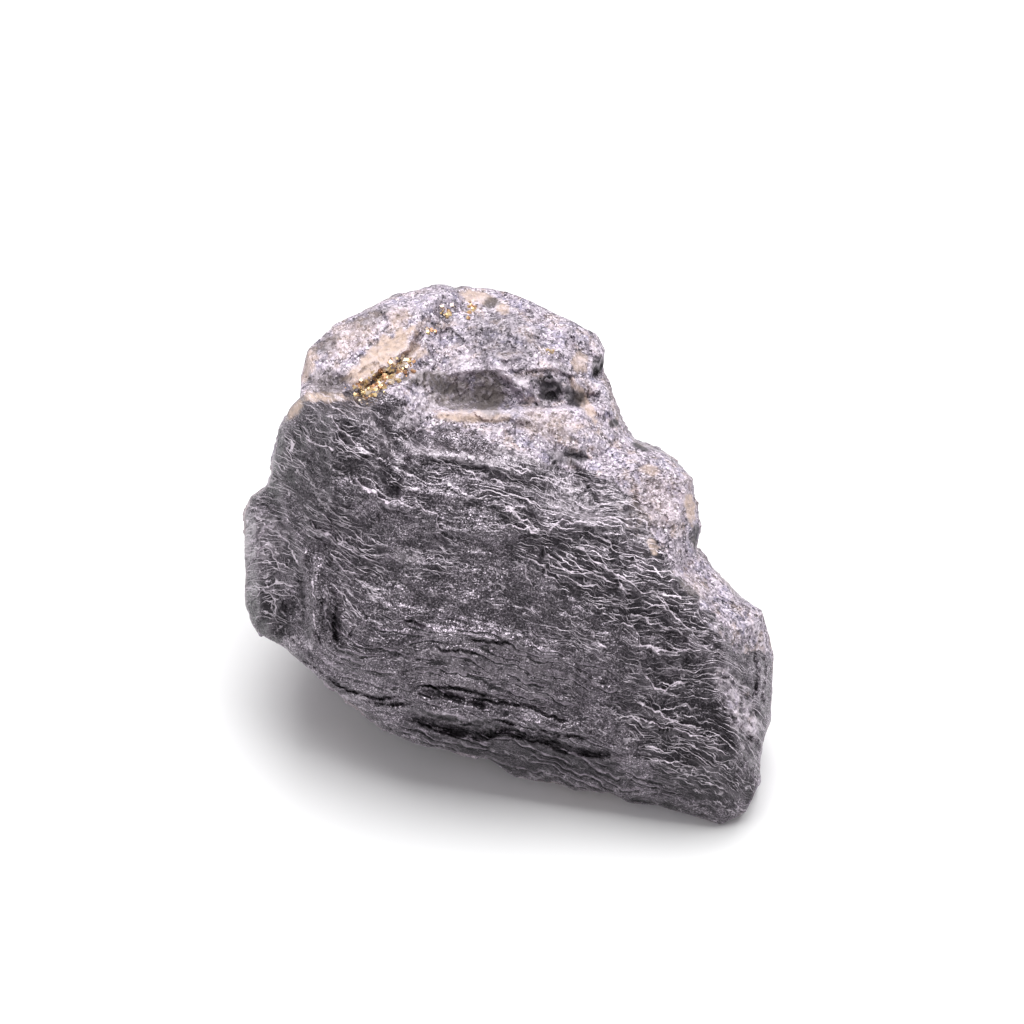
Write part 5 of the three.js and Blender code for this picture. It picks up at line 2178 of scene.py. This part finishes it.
def turned_blocks(middle: Array, size: Array, rng: np.random.Generator) -> tuple[Array, Array]:
    """Closed six-sided blocks, each turned at random by a unit quaternion.

    Args:
        middle: The blocks' middles, shape (n, 3).
        size: Their lengths along their own three axes, shape (n, 3).
        rng: Draws the turns.

    Returns:
        Points, shape (8 n, 3), and corner indices, shape (12 n, 3).
    """
    draw = rng.normal(size=(len(middle), 4))
    a, b, c, d = (draw / np.linalg.norm(draw, axis=1)[:, None]).T
    turn = np.stack([
        1 - 2 * (c * c + d * d), 2 * (b * c - a * d), 2 * (b * d + a * c),
        2 * (b * c + a * d), 1 - 2 * (b * b + d * d), 2 * (c * d - a * b),
        2 * (b * d - a * c), 2 * (c * d + a * b), 1 - 2 * (b * b + c * c),
    ], axis=-1).reshape(-1, 3, 3)
    corners = np.array([(x, y, z) for z in (-0.5, 0.5) for y in (-0.5, 0.5) for x in (-0.5, 0.5)])
    points = middle[:, None, :] + np.einsum("nij,nkj->nki", turn, corners[None] * size[:, None, :])
    sides = np.array([
        (0, 2, 3), (0, 3, 1), (4, 5, 7), (4, 7, 6), (0, 1, 5), (0, 5, 4),
        (2, 6, 7), (2, 7, 3), (0, 4, 6), (0, 6, 2), (1, 3, 7), (1, 7, 5),
    ])
    triangles = sides[None] + 8 * np.arange(len(middle))[:, None, None]
    return points.reshape(-1, 3), triangles.reshape(-1, 3)


# --- Studio ---


@dataclass
class Studio:
    """A pale floor, a big softbox behind and above, a weak fill and the camera.

    The view and the camera are in mm; the floor, the lamps and clip_end are in metres.
    """

    view_middle: Triple = (1.92, 7.68, 8.0)
    view_width: float = 163.84
    camera_distance: float = 1200.0
    sensor: float = 36.0
    clip_end: float = 50.0
    floor_reach: float = 4.0
    box_toward: Triple = (0.08, 0.36, 0.93)
    box_distance: float = 0.75
    box_size: float = 0.85
    box_power: float = 10.5
    fill_toward: Triple = (-0.75, -0.62, 0.45)
    fill_size: float = 0.6
    fill_power: float = 0.5
    sky: float = 0.34

    def floor(self, material: bpy.types.Material) -> None:
        """Lays the floor under the lump.

        Args:
            material: The floor's finish.
        """
        reach = self.floor_reach
        corners = [(-reach, -reach, 0), (reach, -reach, 0), (reach, reach, 0), (-reach, reach, 0)]
        add_piece("floor", corners, [(0, 1, 2), (0, 2, 3)], material)

    def camera(self, lump: Lump) -> None:
        """Looks square at the shear face, with the horizon level.

        Args:
            lump: The lump it looks at.
        """
        target = Vector(lump.placed(np.array([self.view_middle]))[0])
        elevation = math.radians(lump.frame.normal_elevation_deg)
        back = Vector((0, -math.cos(elevation), math.sin(elevation)))
        data = bpy.data.cameras.new("camera")
        data.sensor_width = self.sensor
        data.lens = self.sensor * self.camera_distance / self.view_width
        data.clip_end = self.clip_end
        camera = bpy.data.objects.new("camera", data)
        camera.location = target + back * self.camera_distance * MM
        camera.rotation_euler = back.to_track_quat("Z", "Y").to_euler()
        bpy.context.scene.collection.objects.link(camera)
        bpy.context.scene.camera = camera

    def softbox(self, name: str, toward: Triple, size: float, power: float) -> None:
        """Hangs a square lamp that faces the lump.

        Args:
            name: The lamp's name.
            toward: Direction from the lump.
            size: Length of its side in metres.
            power: Watts.
        """
        data = bpy.data.lights.new(name, "AREA")
        data.size = size
        data.energy = power
        lamp = bpy.data.objects.new(name, data)
        direction = Vector(toward).normalized()
        lamp.location = direction * self.box_distance
        lamp.rotation_euler = direction.to_track_quat("Z", "Y").to_euler()
        lamp.visible_camera = False
        bpy.context.scene.collection.objects.link(lamp)

    def light(self) -> None:
        """Sets the lamps, the pale surroundings and the plain view."""
        self.softbox("top_softbox", self.box_toward, self.box_size, self.box_power)
        self.softbox("front_fill", self.fill_toward, self.fill_size, self.fill_power)
        world = bpy.data.worlds.new("surroundings")
        world.use_nodes = True
        background = world.node_tree.nodes["Background"]
        background.inputs["Color"].default_value = (1.0, 0.995, 1.0, 1)
        background.inputs["Strength"].default_value = self.sky
        bpy.context.scene.world = world
        bpy.context.scene.view_settings.view_transform = "Standard"


def write_sizes() -> None:
    """Brings the view layer up to date."""
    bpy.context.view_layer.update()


def main() -> None:
    """Builds the lump, its pyrite and the studio, and reports each piece."""
    logging.basicConfig(level=logging.INFO, format="%(name)s: %(message)s")
    galena = GalenaFinish().material()
    lump = Lump()
    skin = lump.build(galena)
    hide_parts(NODE)
    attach(skin, "root")
    LOG.info("%s: %d triangles", skin.name, len(skin.data.polygons))

    grains = PyriteVein().build(lump, PyriteFinish().material())
    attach(grains, "root")
    LOG.info("%s: %d triangles", grains.name, len(grains.data.polygons))

    studio = Studio()
    studio.floor(FloorFinish().material())
    studio.light()
    studio.camera(lump)
    write_sizes()


if __name__ == "__main__":
    main()
